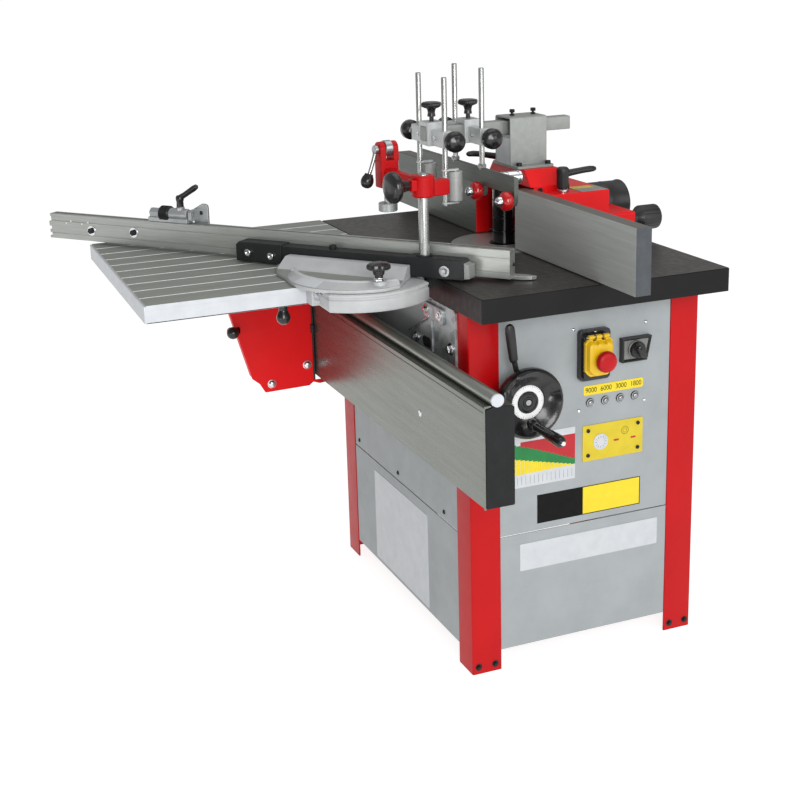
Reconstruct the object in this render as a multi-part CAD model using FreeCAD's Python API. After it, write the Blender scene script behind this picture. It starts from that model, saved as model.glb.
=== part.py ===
import FreeCAD, Part
import math
import os

# Spindle moulder with sliding table, mitre fence, fence hood and pressers.
# Millimetres. Dimensions are laid out from the near corner of the main table
# (x along the fence, y to the back, z up from the floor), then every piece is
# shifted by SHIFT_X, SHIFT_Y so that the part's origin is the bottom centre of
# its bounding box.

os.makedirs("parts", exist_ok=True)
V = FreeCAD.Vector

# ---- driving dimensions ---------------------------------------------------
SHIFT_X, SHIFT_Y = 447.0, 24.55
TABLE_H = 860.0                      # table top above the floor
TABLE_L, TABLE_W, TABLE_T = 930.0, 575.0, 50.0
CX0, CX1, CY0, CY1 = -845.0, -88.0, 10.0, 560.0   # cabinet outside
LEG_W, LEG_T = 69.0, 4.0
SEAM_Z, PANEL_Z0 = 308.0, 46.0
SPX, SPY = -468.0, 281.0             # spindle axis
ARBOR_R, RING_R = 15.0, 25.0         # 30 mm arbor, 50 mm spacing rings
QUILL_R = 62.0
WHEEL_Y, WHEEL_Z, WHEEL_R = 119.0, 622.0, 75.0    # handwheel axis
SCREW_X = -320.0                     # lift screw, in line with the wheel shaft
MOTOR_X = -660.0
FENCE_Y, FENCE_T, FENCE_Z0, FENCE_Z1 = 267.0, 35.0, 862.0, 997.0
FR_X0, FR_X1 = -382.0, 128.0         # right fence plate
FL_X0, FL_X1 = -1060.0, -584.0       # left fence plate
ST_X0, ST_X1, ST_Y0, ST_Y1, ST_T = -938.0, -275.0, -604.0, -3.0, 37.0
ST_TAPER = 20.0                      # the far end of the sliding table is this much narrower
BEAM_X0, BEAM_X1, BEAM_Y0, BEAM_Y1 = -1040.0, 160.0, -75.0, -15.0
BEAM_Z0, BEAM_Z1 = 514.0, 698.0
BAR_TOP = (-48.0, 709.5, 13.5)       # upper guide bar: y, z, radius
BAR_LOW = (-56.0, 509.5, 11.5)       # lower guide bar
PIV_X, PIV_Y, MITRE_DEG = -301.0, -142.0, 39.7    # mitre pivot and set angle
MF_U0, MF_U1, MF_V0, MF_V1, MF_Z0, MF_Z1 = -893.0, 316.0, 68.0, 94.0, 867.0, 927.0
PB_X, PB_Z, PB_S = -468.0, 1125.0, 30.0           # presser bar: axis and square
SAD_F, SAD_R = 106.0, 195.0          # y of front and rear saddle
ROD_DX, ROD_R = 70.0, 6.0            # rods each side of the bar
HOLD_U, HOLD_V, HOLD_DIR = 131.0, 51.0, 186.8     # hold-down post and arm heading


def box(x0, x1, y0, y1, z0, z1):
    return Part.makeBox(x1 - x0, y1 - y0, z1 - z0, V(x0, y0, z0))


def cyl(p, d, r, h):
    return Part.makeCylinder(r, h, V(*p), V(*d))


def cone(p, d, r1, r2, h):
    return Part.makeCone(r1, r2, h, V(*p), V(*d))


def tube(p, d, ro, ri, h):
    return cyl(p, d, ro, h).cut(cyl(p, d, ri, h))


def prism(pts, vec):
    q = [V(*p) for p in pts]
    return Part.Face(Part.makePolygon(q + [q[0]])).extrude(V(*vec))


def prism_x(yz, x0, x1):
    return prism([(x0, a, b) for a, b in yz], (x1 - x0, 0, 0))


def prism_y(xz, y0, y1):
    return prism([(a, y0, b) for a, b in xz], (0, y1 - y0, 0))


def prism_z(xy, z0, z1):
    return prism([(a, b, z0) for a, b in xy], (0, 0, z1 - z0))


def rod(a, b, r):
    a, b = V(*a), V(*b)
    d = b.sub(a)
    return Part.makeCylinder(r, d.Length, a, d)


def taper(a, b, r1, r2):
    a, b = V(*a), V(*b)
    d = b.sub(a)
    return Part.makeCone(r1, r2, d.Length, a, d)


def fuse(*s):
    r = s[0]
    for t in s[1:]:
        r = r.fuse(t)
    return r.removeSplitter()


def cut(s, *tools):
    for t in tools:
        s = s.cut(t)
    return s


def lathe(prof, p, d):
    """Turn a closed profile of (radius, height) points about an axis."""
    q = [V(a, 0, b) for a, b in prof]
    f = Part.Face(Part.makePolygon(q + [q[0]]))
    s = f.revolve(V(0, 0, 0), V(0, 0, 1), 360)
    s.Placement = FreeCAD.Placement(V(*p), FreeCAD.Rotation(V(0, 0, 1), V(*d)))
    return s


def ball(c, r):
    return Part.makeSphere(r, V(*c))


def hexnut(p, d, af, h):
    r = af / math.sqrt(3)
    q = [V(r * math.cos(math.radians(60 * i)), r * math.sin(math.radians(60 * i)), 0) for i in range(6)]
    s = Part.Face(Part.makePolygon(q + [q[0]])).extrude(V(0, 0, h))
    s.Placement = FreeCAD.Placement(V(*p), FreeCAD.Rotation(V(0, 0, 1), V(*d)))
    return s


def edges_round(s, r, test):
    es = [e for e in s.Edges if test(e)]
    return s.makeFillet(r, es) if es else s


def save(name, *solids):
    out = []
    for s in solids:
        for t in s.Solids:
            if not t.isValid():
                print("INVALID", name)
            out.append(t)
    c = out[0] if len(out) == 1 else Part.makeCompound(out)
    c = c.copy()
    c.translate(V(SHIFT_X, SHIFT_Y, 0))
    c.exportStep("parts/%s.step" % name)
    b = c.BoundBox
    print("%-24s %2d solids  x %7.1f %7.1f  y %7.1f %7.1f  z %7.1f %7.1f" % (
        name, len(out), b.XMin, b.XMax, b.YMin, b.YMax, b.ZMin, b.ZMax))


Z0 = TABLE_H - TABLE_T               # underside of the table

# ---- cabinet ----------------------------------------------------------------
legs = []
for xo, sx in ((CX0, 1), (CX1, -1)):
    for yo, sy in ((CY0, 1), (CY1, -1)):
        a = [(xo, yo), (xo + sx * LEG_W, yo), (xo + sx * LEG_W, yo + sy * LEG_T),
             (xo + sx * LEG_T, yo + sy * LEG_T), (xo + sx * LEG_T, yo + sy * LEG_W), (xo, yo + sy * LEG_W)]
        legs.append(prism_z(a, 0, Z0))
rails = []
ix0, ix1, iy0, iy1 = CX0 + LEG_T, CX1 - LEG_T, CY0 + LEG_T, CY1 - LEG_T
for z0, z1 in ((62, 92), (Z0 - 30, Z0)):
    rails += [box(ix0, ix1, iy0, iy0 + 28, z0, z1), box(ix0, ix1, iy1 - 28, iy1, z0, z1),
              box(ix0, ix0 + 28, iy0 + 28, iy1 - 28, z0, z1), box(ix1 - 28, ix1, iy0 + 28, iy1 - 28, z0, z1)]
save("cabinet_frame", *(legs + rails))

g = 0.5
py0, py1 = CY0 + LEG_W + g, CY1 - LEG_W - g
px0, px1 = CX0 + LEG_W + g, CX1 - LEG_W - g
panel = box(CX1 - LEG_T, CX1 - LEG_T + 2.0, py0, py1, SEAM_Z + 2, Z0 - 2)
panel = panel.cut(cyl((CX1 - 20, WHEEL_Y, WHEEL_Z), (1, 0, 0), 21, 40))
panel = panel.cut(box(CX1 - 20, CX1 + 20, 292, 312, 640, 720))

sheets = [
    box(px0, px1, CY0 + LEG_T - 2.0, CY0 + LEG_T, SEAM_Z + 2, Z0 - 2),
    box(px0, px1, CY1 - LEG_T, CY1 - LEG_T + 2.0, SEAM_Z + 2, Z0 - 2),
    box(CX0 + LEG_T - 2.0, CX0 + LEG_T, py0, py1, SEAM_Z + 2, Z0 - 2),
    box(px0, px1, CY0 + LEG_T - 2.5, CY0 + LEG_T, PANEL_Z0, SEAM_Z),
    box(px0, px1, CY1 - LEG_T, CY1 - LEG_T + 2.5, PANEL_Z0, SEAM_Z),
    box(CX0 + LEG_T - 2.5, CX0 + LEG_T, py0, py1, PANEL_Z0, SEAM_Z),
    box(CX1 - LEG_T, CX1 - LEG_T + 2.5, py0, py1, PANEL_Z0, SEAM_Z)]
save("cabinet_panels", panel, *sheets)

scr = []
px_out = CX1 - LEG_T + 2.0
for y, z in ((254, 745), (429, 740), (268, 564), (430, 565)):
    scr.append(lathe([(0, 0), (5.5, 0), (5.5, 1.2), (3.5, 3.2), (0, 3.6)], (px_out, y, z), (1, 0, 0)))
for x in (-747, -494, -230):
    scr.append(lathe([(0, 0), (6, 0), (6, 1.2), (4, 3.2), (0, 3.6)], (x, CY0 + LEG_T - 2, 328), (0, -1, 0)))
for y in (CY0 + 14, CY0 + 54, CY1 - 54, CY1 - 14):
    scr.append(hexnut((CX1, y, 17), (1, 0, 0), 10, 5))
    scr.append(hexnut((CX0, y, 17), (-1, 0, 0), 10, 5))
save("panel_screws", *scr)

# ---- main table ---------------------------------------------------------------
slab = box(-TABLE_L, 0, 0, TABLE_W, Z0, TABLE_H)
slab = slab.makeFillet(3.0, [e for e in slab.Edges if abs(e.BoundBox.ZLength - TABLE_T) < 1])
slab = slab.makeChamfer(1.5, [e for e in slab.Edges if e.BoundBox.ZMin > TABLE_H - 0.01])
nx, ny, rib, skirt = 7, 4, 12.0, 14.0
wx = (TABLE_L - 2 * skirt - (nx - 1) * rib) / nx
wy = (TABLE_W - 2 * skirt - (ny - 1) * rib) / ny
boss = cyl((SPX, SPY, Z0 - 5), (0, 0, 1), 140, 60)
for i in range(nx):
    for j in range(ny):
        x = -TABLE_L + skirt + i * (wx + rib)
        y = skirt + j * (wy + rib)
        p = box(x, x + wx, y, y + wy, Z0 - 1, Z0 + 34).cut(boss)
        if p.Volume > 2.0e4:
            slab = slab.cut(p)
slab = cut(slab, cyl((SPX, SPY, TABLE_H - 10), (0, 0, 1), 121.6, 20), cyl((SPX, SPY, Z0 - 1), (0, 0, 1), 104, 60))
save("table", slab)
ringa = lathe([(72, 0), (121, 0), (121, 9.7), (80, 9.7), (80, 4), (72, 4)], (SPX, SPY, TABLE_H - 10), (0, 0, 1))
ringb = lathe([(34, 0), (79.6, 0), (79.6, 5.7), (34, 5.7)], (SPX, SPY, TABLE_H - 6), (0, 0, 1))
save("table_rings", ringa, ringb)

# ---- spindle unit inside the cabinet ----------------------------------------
guide = lathe([(QUILL_R + 0.05, 0), (85, 0), (85, 140), (132, 152), (132, 165.5), (QUILL_R + 0.05, 165.5)],
              (SPX, SPY, Z0 - 165.5), (0, 0, 1))
post = fuse(box(-300, -280, WHEEL_Y - 22, WHEEL_Y + 22, WHEEL_Z - 22, Z0),
            box(-350, -300, WHEEL_Y - 22, WHEEL_Y + 22, 652, 676),
            box(-352, -280, WHEEL_Y - 30, WHEEL_Y + 30, Z0 - 14, Z0))
post = cut(post, cyl((-310, WHEEL_Y, WHEEL_Z), (1, 0, 0), 8.06, 40), cyl((SCREW_X, WHEEL_Y, 640), (0, 0, 1), 7.06, 60))
save("quill_guide", guide, post)

quill = lathe([(40, 0), (QUILL_R, 0), (QUILL_R, 240), (40, 240)], (SPX, SPY, 560), (0, 0, 1))
ang = math.degrees(math.atan2(WHEEL_Y - SPY, SCREW_X - SPX))
dist = math.hypot(WHEEL_Y - SPY, SCREW_X - SPX)
arm = fuse(box(50, dist, -20, 20, 560, 580), cyl((dist, 0, 560), (0, 0, 1), 26, 20)).cut(cyl((0, 0, 550), (0, 0, 1), 50, 40))
arm.rotate(V(0, 0, 0), V(0, 0, 1), ang)
arm.translate(V(SPX, SPY, 0))
quill = fuse(quill, arm).cut(cyl((SCREW_X, WHEEL_Y, 540), (0, 0, 1), 10.06, 60))
save("spindle_quill", quill, tube((SPX, SPY, 566), (0, 0, 1), 39.8, 20.05, 24), tube((SPX, SPY, 770), (0, 0, 1), 39.8, 20.05, 24))

shaft = lathe([(0, 0), (20, 0), (20, 288), (30, 288), (30, 318), (25, 322), (25, 338), (ARBOR_R, 338), (ARBOR_R, 482), (0, 482)],
              (SPX, SPY, 512), (0, 0, 1))
nut = hexnut((SPX, SPY, 985), (0, 0, 1), 40, 12).cut(cyl((SPX, SPY, 980), (0, 0, 1), ARBOR_R + 0.2, 40))
pulley = lathe([(20.1, 0), (45, 0), (45, 15), (36, 15), (36, 30), (20.1, 30)], (SPX, SPY, 524), (0, 0, 1))
save("spindle_shaft", shaft, nut, pulley)
rings = []
for z, h in ((850, 40), (890, 30), (920, 40), (960, 25)):
    rings.append(lathe([(ARBOR_R + 0.2, 0), (RING_R - 1, 0), (RING_R, 1), (RING_R, h - 1), (RING_R - 1, h), (ARBOR_R + 0.2, h)],
                       (SPX, SPY, z), (0, 0, 1)))
save("spacer_rings", *rings)

plate = box(MOTOR_X - 85, -370, SPY - 84, SPY + 84, 600, 612)
plate = cut(plate, cyl((SPX, SPY, 590), (0, 0, 1), QUILL_R + 0.2, 40), cyl((MOTOR_X, SPY, 590), (0, 0, 1), 16, 40))
can = lathe([(16, 0), (76, 0), (76, 158), (64, 172), (0, 172), (0, 30), (16, 30)], (MOTOR_X, SPY, 610), (0, 0, 1))
term = box(MOTOR_X - 30, MOTOR_X + 30, SPY + 50, SPY + 118, 650, 730)
motor = plate.fuse(can).fuse(term)
save("motor", motor)
save("motor_pulley", lathe([(0, 0), (60, 0), (60, 15), (50, 15), (50, 30), (12, 30), (12, 110), (0, 110)], (MOTOR_X, SPY, 524), (0, 0, 1)))


def hull2(c1, r1, c2, r2, z0, z1):
    """Solid between two circles and their outer tangents."""
    d = math.hypot(c2[0] - c1[0], c2[1] - c1[1])
    th = math.atan2(c2[1] - c1[1], c2[0] - c1[0])
    b = math.acos((r1 - r2) / d)
    q = []
    for s in (1, -1):
        t = th + s * b
        q.append(((c1[0] + r1 * math.cos(t), c1[1] + r1 * math.sin(t)), (c2[0] + r2 * math.cos(t), c2[1] + r2 * math.sin(t))))
    quad = prism_z([q[0][0], q[0][1], q[1][1], q[1][0]], z0, z1)
    return fuse(quad, cyl((c1[0], c1[1], z0), (0, 0, 1), r1, z1 - z0), cyl((c2[0], c2[1], z0), (0, 0, 1), r2, z1 - z0))


belt = hull2((MOTOR_X, SPY), 65.5, (SPX, SPY), 50.5, 526, 537).cut(hull2((MOTOR_X, SPY), 60.5, (SPX, SPY), 45.5, 520, 545))
save("drive_belt", belt)
save("lift_screw", fuse(cyl((SCREW_X, WHEEL_Y, 430), (0, 0, 1), 10, 160),
                        cone((SCREW_X, WHEEL_Y, 588), (0, 0, 1), 22, 14, 14),
                        cyl((SCREW_X, WHEEL_Y, 600), (0, 0, 1), 7, 84)))

# ---- handwheel ----------------------------------------------------------------
hw = (-42.0, WHEEL_Y, WHEEL_Z)
wheel = lathe([(8.2, -6), (22, -6), (26, -4), (44, -4), (57, 2), (60, 0), (68, -3), (72, -0.5), (75, 9), (75, 16), (71.5, 24), (68, 25.8), (63.5, 24.6),
               (44, 10), (36.6, 6.4), (36.6, 5.5), (23.4, 5.5), (23.4, 7), (20, 9.4), (8.2, 9.8)], hw, (1, 0, 0))
for k in range(6):
    a = math.radians(60 * k - 20)
    wheel = wheel.cut(cyl((hw[0] - 10, WHEEL_Y + 51 * math.cos(a), WHEEL_Z + 51 * math.sin(a)), (1, 0, 0), 6.5, 60))
knob_a = (hw[0], WHEEL_Y + 8, WHEEL_Z - 47)
pin = lathe([(0, 6), (10, 6), (10, 28), (5, 28), (5, 142), (0, 142)], knob_a, (1, 0, 0))
wheel = wheel.fuse(pin)
save("handwheel", wheel)
save("handwheel_shaft", fuse(cyl((-302, WHEEL_Y, WHEEL_Z), (1, 0, 0), 8, 269), cone((-311, WHEEL_Y, WHEEL_Z), (1, 0, 0), 9, 14, 10)))
save("crank_handle", lathe([(5.06, 0), (9, 0), (11, 14), (12.5, 60), (12, 94), (8, 108), (5.06, 108)],
                           (hw[0] + 30, knob_a[1], knob_a[2]), (1, 0, 0)))
lk = (-84.0, WHEEL_Y, WHEEL_Z)
collar = tube(lk, (1, 0, 0), 24, 8.4, 34)
stem = rod((-58, WHEEL_Y - 4, WHEEL_Z + 14), (-48, WHEEL_Y - 27, WHEEL_Z + 92), 5.5)
grip = taper((-48.4, WHEEL_Y - 26, WHEEL_Z + 88), (-44, WHEEL_Y - 37, WHEEL_Z + 160), 7.5, 10)
lever = fuse(collar, stem, grip, ball((-44, WHEEL_Y - 37, WHEEL_Z + 160), 10)).cut(cyl((-90, WHEEL_Y, WHEEL_Z), (1, 0, 0), 8.4, 60))
save("height_lock_lever", lever)

# ---- control panel ------------------------------------------------------------
lx = px_out
lab = [box(lx, lx + 0.8, 279, 425, 596, 617),
       box(lx, lx + 1.6, 277, 426, 447, 528),
       box(lx, lx + 0.6, 108, 259, 414, 531),
       box(lx, lx + 0.6, 168, 422, 325, 390),
       box(lx + 0.5, lx + 1.1, 126, 468, 222, 284),
       box(-647, -322, CY0 + LEG_T - 3.1, CY0 + LEG_T - 2.5, 54, 284)]
save("label_plates", *lab)
save("indicator_lamps", *[lathe([(0, 0), (10, 0), (10, 2), (8.5, 4.5), (6, 4.5), (4.5, 6.5), (0, 7.5)], (lx, y, 579), (1, 0, 0))
                          for y in (295, 331.7, 368.4, 405)])
base = box(lx, lx + 22, 262, 335, 633, 744)
base = base.makeFillet(8, [e for e in base.Edges if e.BoundBox.XLength > 20])
base = cut(base, box(lx + 6, lx + 40, 272, 325, 647, 724))
well = box(lx + 6, lx + 12, 274, 323, 649, 722).cut(cyl((lx, 302, 706), (1, 0, 0), 11.5, 40)).cut(cyl((lx, 302, 683), (1, 0, 0), 9, 40))
rot = prism_x([(365, 660), (426, 660), (437, 713), (365, 713)], lx, lx + 12)
rot = rot.makeFillet(3, [e for e in rot.Edges if e.BoundBox.XLength > 11])
rot = fuse(rot, lathe([(0, 12), (23, 12), (21, 17), (0, 17)], (lx, 399, 687), (1, 0, 0)))
save("switch_bases", fuse(base, well), rot)
lid0 = lx + 23
lid = box(lid0, lid0 + 20, 266, 331, 647, 728)
lid = lid.makeFillet(9, [e for e in lid.Edges if e.BoundBox.XLength > 19])
lid = lid.makeFillet(4, [e for e in lid.Edges if e.BoundBox.XMin > lid0 + 19.9])
lid = lid.cut(box(lid0 - 1, lid0 + 16, 271, 326, 652, 718))
lid = fuse(lid, cyl((lid0 + 4, 270, 732), (0, 1, 0), 5, 57)).cut(cyl((lid0, 302, 683), (1, 0, 0), 10.4, 40))
save("switch_lid", lid)
save("stop_mushroom", lathe([(0, -16), (10, -16), (10, 6), (21, 8), (23, 12), (21.5, 18), (14, 22.5), (0, 24)], (lid0 + 20, 302, 683), (1, 0, 0)))
save("start_button", lathe([(0, 0), (11, 0), (11, 9), (9.5, 10.5), (0, 10.5)], (lx + 9, 302, 706), (1, 0, 0)))
save("rotary_knob", fuse(cyl((lx + 17.3, 399, 687), (1, 0, 0), 18, 7), box(lx + 22, lx + 42, 392, 406, 668, 706)))

# ---- sliding beam ---------------------------------------------------------------
body = box(BEAM_X0, BEAM_X1, BEAM_Y0, BEAM_Y1, BEAM_Z0, BEAM_Z1)
body = body.cut(box(BEAM_X0 - 1, BEAM_X1 + 1, BEAM_Y0 + 5, BEAM_Y1 - 5, BEAM_Z0 + 22, BEAM_Z1 - 18))
for y, z, r in (BAR_TOP, BAR_LOW):
    body = body.cut(cyl((BEAM_X0 - 1, y, z), (1, 0, 0), r + 0.1, BEAM_X1 - BEAM_X0 + 2))
lip = fuse(box(BEAM_X0, BEAM_X1, BEAM_Y0, BEAM_Y0 + 5, BEAM_Z0 - 18, BEAM_Z0 + 2), body)
save("slide_beam", lip)
save("beam_bars", *[cyl((BEAM_X0, y, z), (1, 0, 0), r, BEAM_X1 - BEAM_X0) for y, z, r in (BAR_TOP, BAR_LOW)])
cap = [box(BEAM_X1, BEAM_X1 + 6, BEAM_Y0 - 2, BEAM_Y1 + 2, 495, 724), box(BEAM_X0 - 6, BEAM_X0, BEAM_Y0 - 2, BEAM_Y1 + 2, 495, 724)]
save("beam_end_caps", *[c.makeFillet(8, [e for e in c.Edges if e.BoundBox.XLength > 5]) for c in cap])
br = []
for x in (-258, -813):
    p = fuse(box(x, x + 120, CY0 - 6, CY0, 540, 806), box(x + 20, x + 95, BEAM_Y1, CY0 - 6, 560, 660))
    br.append(p)
save("beam_brackets", *br)

# ---- carriage and sliding table ----------------------------------------------
zt0 = TABLE_H - ST_T
st = prism_z([(ST_X0, ST_Y0 + ST_TAPER), (ST_X1, ST_Y0), (ST_X1, ST_Y1), (ST_X0, ST_Y1)], zt0, TABLE_H)
n = 10
pitch = (ST_X1 - ST_X0) / n
for i in range(n):
    x = ST_X0 + i * pitch
    y0 = ST_Y0 + 6 + ST_TAPER * (1 - i / float(n))
    st = st.cut(box(x + 4, x + pitch - 4 if i < n - 1 else x + pitch - 5, y0, ST_Y1 - 5, zt0 - 1, TABLE_H - 7))
    if i:
        st = st.cut(box(x - 1.6, x + 1.6, ST_Y0 - 1, ST_Y1 + 1, TABLE_H - 1.6, TABLE_H + 1))
LKY = -296.6                         # carriage lock, under the table
st = fuse(st, box(-368, -320, LKY - 22, LKY + 22, zt0 - 12, zt0 + 2).cut(cyl((-345, LKY, 800), (0, 0, 1), 6.06, 60)))
save("sliding_table", st)
yb = BEAM_Y0 - 2.5
prof = [(-327, zt0), (-287, 680), (-239, 507), (-220.5, 491.5), (-207, 468), (-92, 470), (-82, 478), (-65, 472), (-42, 474), (-42, 482), (yb, 482), (yb, 740), (-12, 740), (-12, zt0)]
back = [(a + (45 if a < -150 else 0), b) for a, b in prof]
cb = fuse(prism_x(prof, -816, -810), prism_x(back, -905, -899), cyl((-816, -286.4, 636), (1, 0, 0), 11, 6), box(-816, -810, -286.4, -268, 626, 646), box(-900, -815, -327, -12, zt0 - 8, zt0),
          box(-900, -815, yb - 8, yb, 482, zt0), box(-905, -590, -72, -24, 728, zt0))
cb = cb.cut(cyl((-830, -286.4, 636), (1, 0, 0), 6.06, 40))
save("carriage_bracket", cb)

quad = cyl((PIV_X, PIV_Y, zt0), (0, 0, 1), 159, ST_T).common(box(ST_X1, 0, PIV_Y - 108, PIV_Y + 112, zt0 - 1, TABLE_H + 1))
quad = fuse(quad, prism_z([(ST_X1, -267), (-241, -267), (-241, -246), (-200, -246), (-200, -236), (ST_X1, -236)], zt0 + 3, TABLE_H - 3))
slot = tube((PIV_X, PIV_Y, TABLE_H - 20), (0, 0, 1), 134, 118, 40).common(box(ST_X1 + 8, 0, PIV_Y - 98, PIV_Y + 104, TABLE_H - 20, TABLE_H + 5))
quad = quad.cut(slot)
save("quadrant_casting", quad)


def ball_knob(x, y, zb):
    return fuse(cyl((x, y, zb), (0, 0, 1), 6, zt0 - 2 - zb), ball((x, y, zb), 15), cyl((x, y, zt0 - 22), (0, 0, 1), 11, 9.7))


save("carriage_lock_knob", ball_knob(-345.0, LKY, 781.5))
save("table_lock_knob", fuse(cyl((-818, -286.4, 636), (1, 0, 0), 6, 20), cyl((-809.7, -286.4, 636), (1, 0, 0), 9, 8), ball((-792, -286.4, 636), 15.5)))

# ---- mitre fence, built along x about its pivot, then turned ------------------------


def mitre(s):
    s = s.copy()
    s.rotate(V(0, 0, 0), V(0, 0, 1), MITRE_DEG)
    s.translate(V(PIV_X, PIV_Y, 0))
    return s


def mpt(u, v, z):
    a = math.radians(MITRE_DEG)
    return (PIV_X + u * math.cos(a) - v * math.sin(a), PIV_Y + u * math.sin(a) + v * math.cos(a), z)


zs = TABLE_H + 0.6
outl = [(-208, 32), (-205, 4), (-169, -53)] + [(150 * math.cos(math.radians(t)), 150 * math.sin(math.radians(t))) for t in range(-143, -35, 7)]
outl += [(131, -60), (124, -42), (107, 32)]
rim = prism_z(outl, zs, zs + 19.4).common(cone((0, 12, zs), (0, 0, 1), 160, 128, 19.4)).cut(cyl((0, 40, zs + 8), (0, 0, 1), 150, 30))
wall = prism_x([(-24, zs), (-24, zs + 8), (10, 889), (32, 889), (32, zs)], -187, 107).common(prism_z(outl, zs - 1, 900))
tk = math.radians(-41)
tku, tkv = 126 * math.cos(tk), 126 * math.sin(tk)
sector = fuse(prism_z(outl, zs, zs + 8), rim, wall, cyl((tku, tkv, zs), (0, 0, 1), 14, 19.4))
sector = sector.cut(cyl((tku, tkv, zs - 5), (0, 0, 1), 5.3, 40))
save("swivel_casting", mitre(sector))
bar = fuse(box(-327, 228, 32, MF_V0, 872, 904), box(-327, -209, 30, MF_V0, 864, 907), box(96, 228, 32.3, MF_V0, 864, 906), box(226, 240, 36, MF_V0 - 4, 866, 900))
bar = bar.cut(cyl((HOLD_U, HOLD_V, 870), (0, 0, 1), 11.2, 60))
save("mitre_bar", mitre(bar))
mf = box(MF_U0, MF_U1, MF_V0, MF_V1, MF_Z0, MF_Z1)
vm = 0.5 * (MF_V0 + MF_V1)
for a in (box(MF_U0 - 1, MF_U1 + 1, vm - 4, vm + 4, MF_Z1 - 4, MF_Z1 + 1), box(MF_U0 - 1, MF_U1 + 1, vm - 8, vm + 8, MF_Z1 - 11, MF_Z1 - 4),
          box(MF_U0 - 1, MF_U1 + 1, MF_V1 - 4, MF_V1 + 1, 889, 897), box(MF_U0 - 1, MF_U1 + 1, MF_V1 - 11, MF_V1 - 4, 885, 901),
          box(MF_U0 - 1, MF_U1 + 1, MF_V0 + 4, MF_V1 - 14, MF_Z0 + 4, MF_Z0 + 40)):
    mf = mf.cut(a)
mf = fuse(mf, prism_z([(270, MF_V1 - 1), (330, MF_V1 - 1), (350, 102), (357, 112), (340, 118), (270, 112)], TABLE_H + 1.5, TABLE_H + 9))
save("mitre_fence", mitre(mf))
tkz = zs + 19.7
tkn = fuse(cyl((tku, tkv, TABLE_H - 14), (0, 0, 1), 5, 40), cyl((tku, tkv, tkz), (0, 0, 1), 9, 6), cyl((tku, tkv, tkz + 5), (0, 0, 1), 11, 18),
           lathe([(0, 0), (20, 0), (25, 4), (25, 10), (20, 14), (0, 15)], (tku, tkv, tkz + 22), (0, 0, 1)))
save("mitre_lock_knob", mitre(tkn))
FSZ = MF_Z1 + 19                     # axis of the stop, along the fence
fs = fuse(box(-594, -484, vm - 12.5, vm + 12.5, MF_Z1 + 0.3, MF_Z1 + 12), box(-584, -494, vm - 3.7, vm + 3.7, MF_Z1 - 8, MF_Z1 + 1),
          cyl((-591, vm, FSZ), (1, 0, 0), 13, 30), cyl((-563, vm, FSZ), (1, 0, 0), 18, 28), cyl((-537, vm, FSZ), (1, 0, 0), 14, 53),
          cyl((-509, vm, FSZ), (0, 0, 1), 8, 40), rod((-509, vm, FSZ + 38), (-457, vm, FSZ + 69), 6), cyl((-490, vm, FSZ), (1, 0, 0), 4, 16))
save("flip_stop_block", mitre(fs))
fa = fuse(box(-483.5, -473.5, vm - 9, MF_V1 + 8, FSZ - 13, FSZ + 12),
          prism_y([(-483.5, 889), (-440, 889), (-434, 895), (-434, 966), (-439, 971), (-453, 971), (-483.5, 958)], MF_V1 + 1.5, MF_V1 + 8))
fa = fa.cut(cyl((-500, vm, FSZ), (1, 0, 0), 4.06, 40))
save("flip_stop_arm", mitre(fa))

# ---- hold-down --------------------------------------------------------------------
hx, hy, _ = mpt(HOLD_U, HOLD_V, 0)
save("hold_down_post", fuse(cyl((hx, hy, 872), (0, 0, 1), 11, 204), cone((hx, hy, 1076), (0, 0, 1), 11, 9, 3)))


def hp(s):
    s = s.copy()
    s.rotate(V(0, 0, 0), V(0, 0, 1), HOLD_DIR)
    s.translate(V(hx, hy, 0))
    return s


ARM = 152.0                          # post to plunger
CAM_Z = 1112.0
boss = cyl((0, 0, 1030), (0, 0, 1), 24, 45)
armb = prism([(10, -17, 1033), (10, 17, 1033), (10, 17, 1072), (10, -17, 1072)], (130, 0, 0))
fork = fuse(box(ARM - 17, ARM + 17, -21.5, 21.5, 1030, CAM_Z), cyl((ARM, -21.5, CAM_Z), (0, 1, 0), 15, 43))
fork = fork.cut(box(ARM - 40, ARM + 40, -8.5, 8.5, 1089, 1140))
lugb = box(-12, 12, 18, 34, 1044, 1068)
clampb = fuse(box(-14, 14, -46, 0, 1030, 1062), cyl((0, -46, 1030), (0, 0, 1), 14, 32))
harm = fuse(boss, armb, fork, lugb, clampb)
harm = cut(harm, cyl((0, 0, 1000), (0, 0, 1), 11.06, 120), cyl((ARM, 0, 1000), (0, 0, 1), 8.06, 100), cyl((ARM, -30, CAM_Z), (0, 1, 0), 5.06, 60),
           cyl((0, 10, 1056), (0, 1, 0), 5.06, 40))
save("hold_down_arm", hp(harm))
cam = fuse(cyl((ARM, -8.1, CAM_Z + 1), (0, 1, 0), 17, 16.2), cyl((ARM, -25, CAM_Z), (0, 1, 0), 5, 51),
           cyl((ARM, 22, CAM_Z), (0, 1, 0), 9, 9), rod((ARM, 26, CAM_Z - 2), (ARM, 46, CAM_Z - 60), 4.5), ball((ARM, 49, CAM_Z - 66), 14))
save("hold_down_lever", hp(cam))
save("hold_down_foot", hp(fuse(cyl((ARM, 0, 990), (0, 0, 1), 8, 93), lathe([(0, 0), (20, 0), (22.5, 3), (22.5, 12), (19, 15), (0, 15)], (ARM, 0, 978), (0, 0, 1)))))
save("arm_clamp_knob", hp(fuse(cyl((0, 11.6, 1056), (0, 1, 0), 5, 44), cyl((0, 34.3, 1056), (0, 1, 0), 8, 20),
                               lathe([(0, 0), (14, 0), (29, 8), (32.5, 16), (30, 25), (22, 30), (0, 31)], (0, 53, 1056), (0, 1, 0)))))

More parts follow.
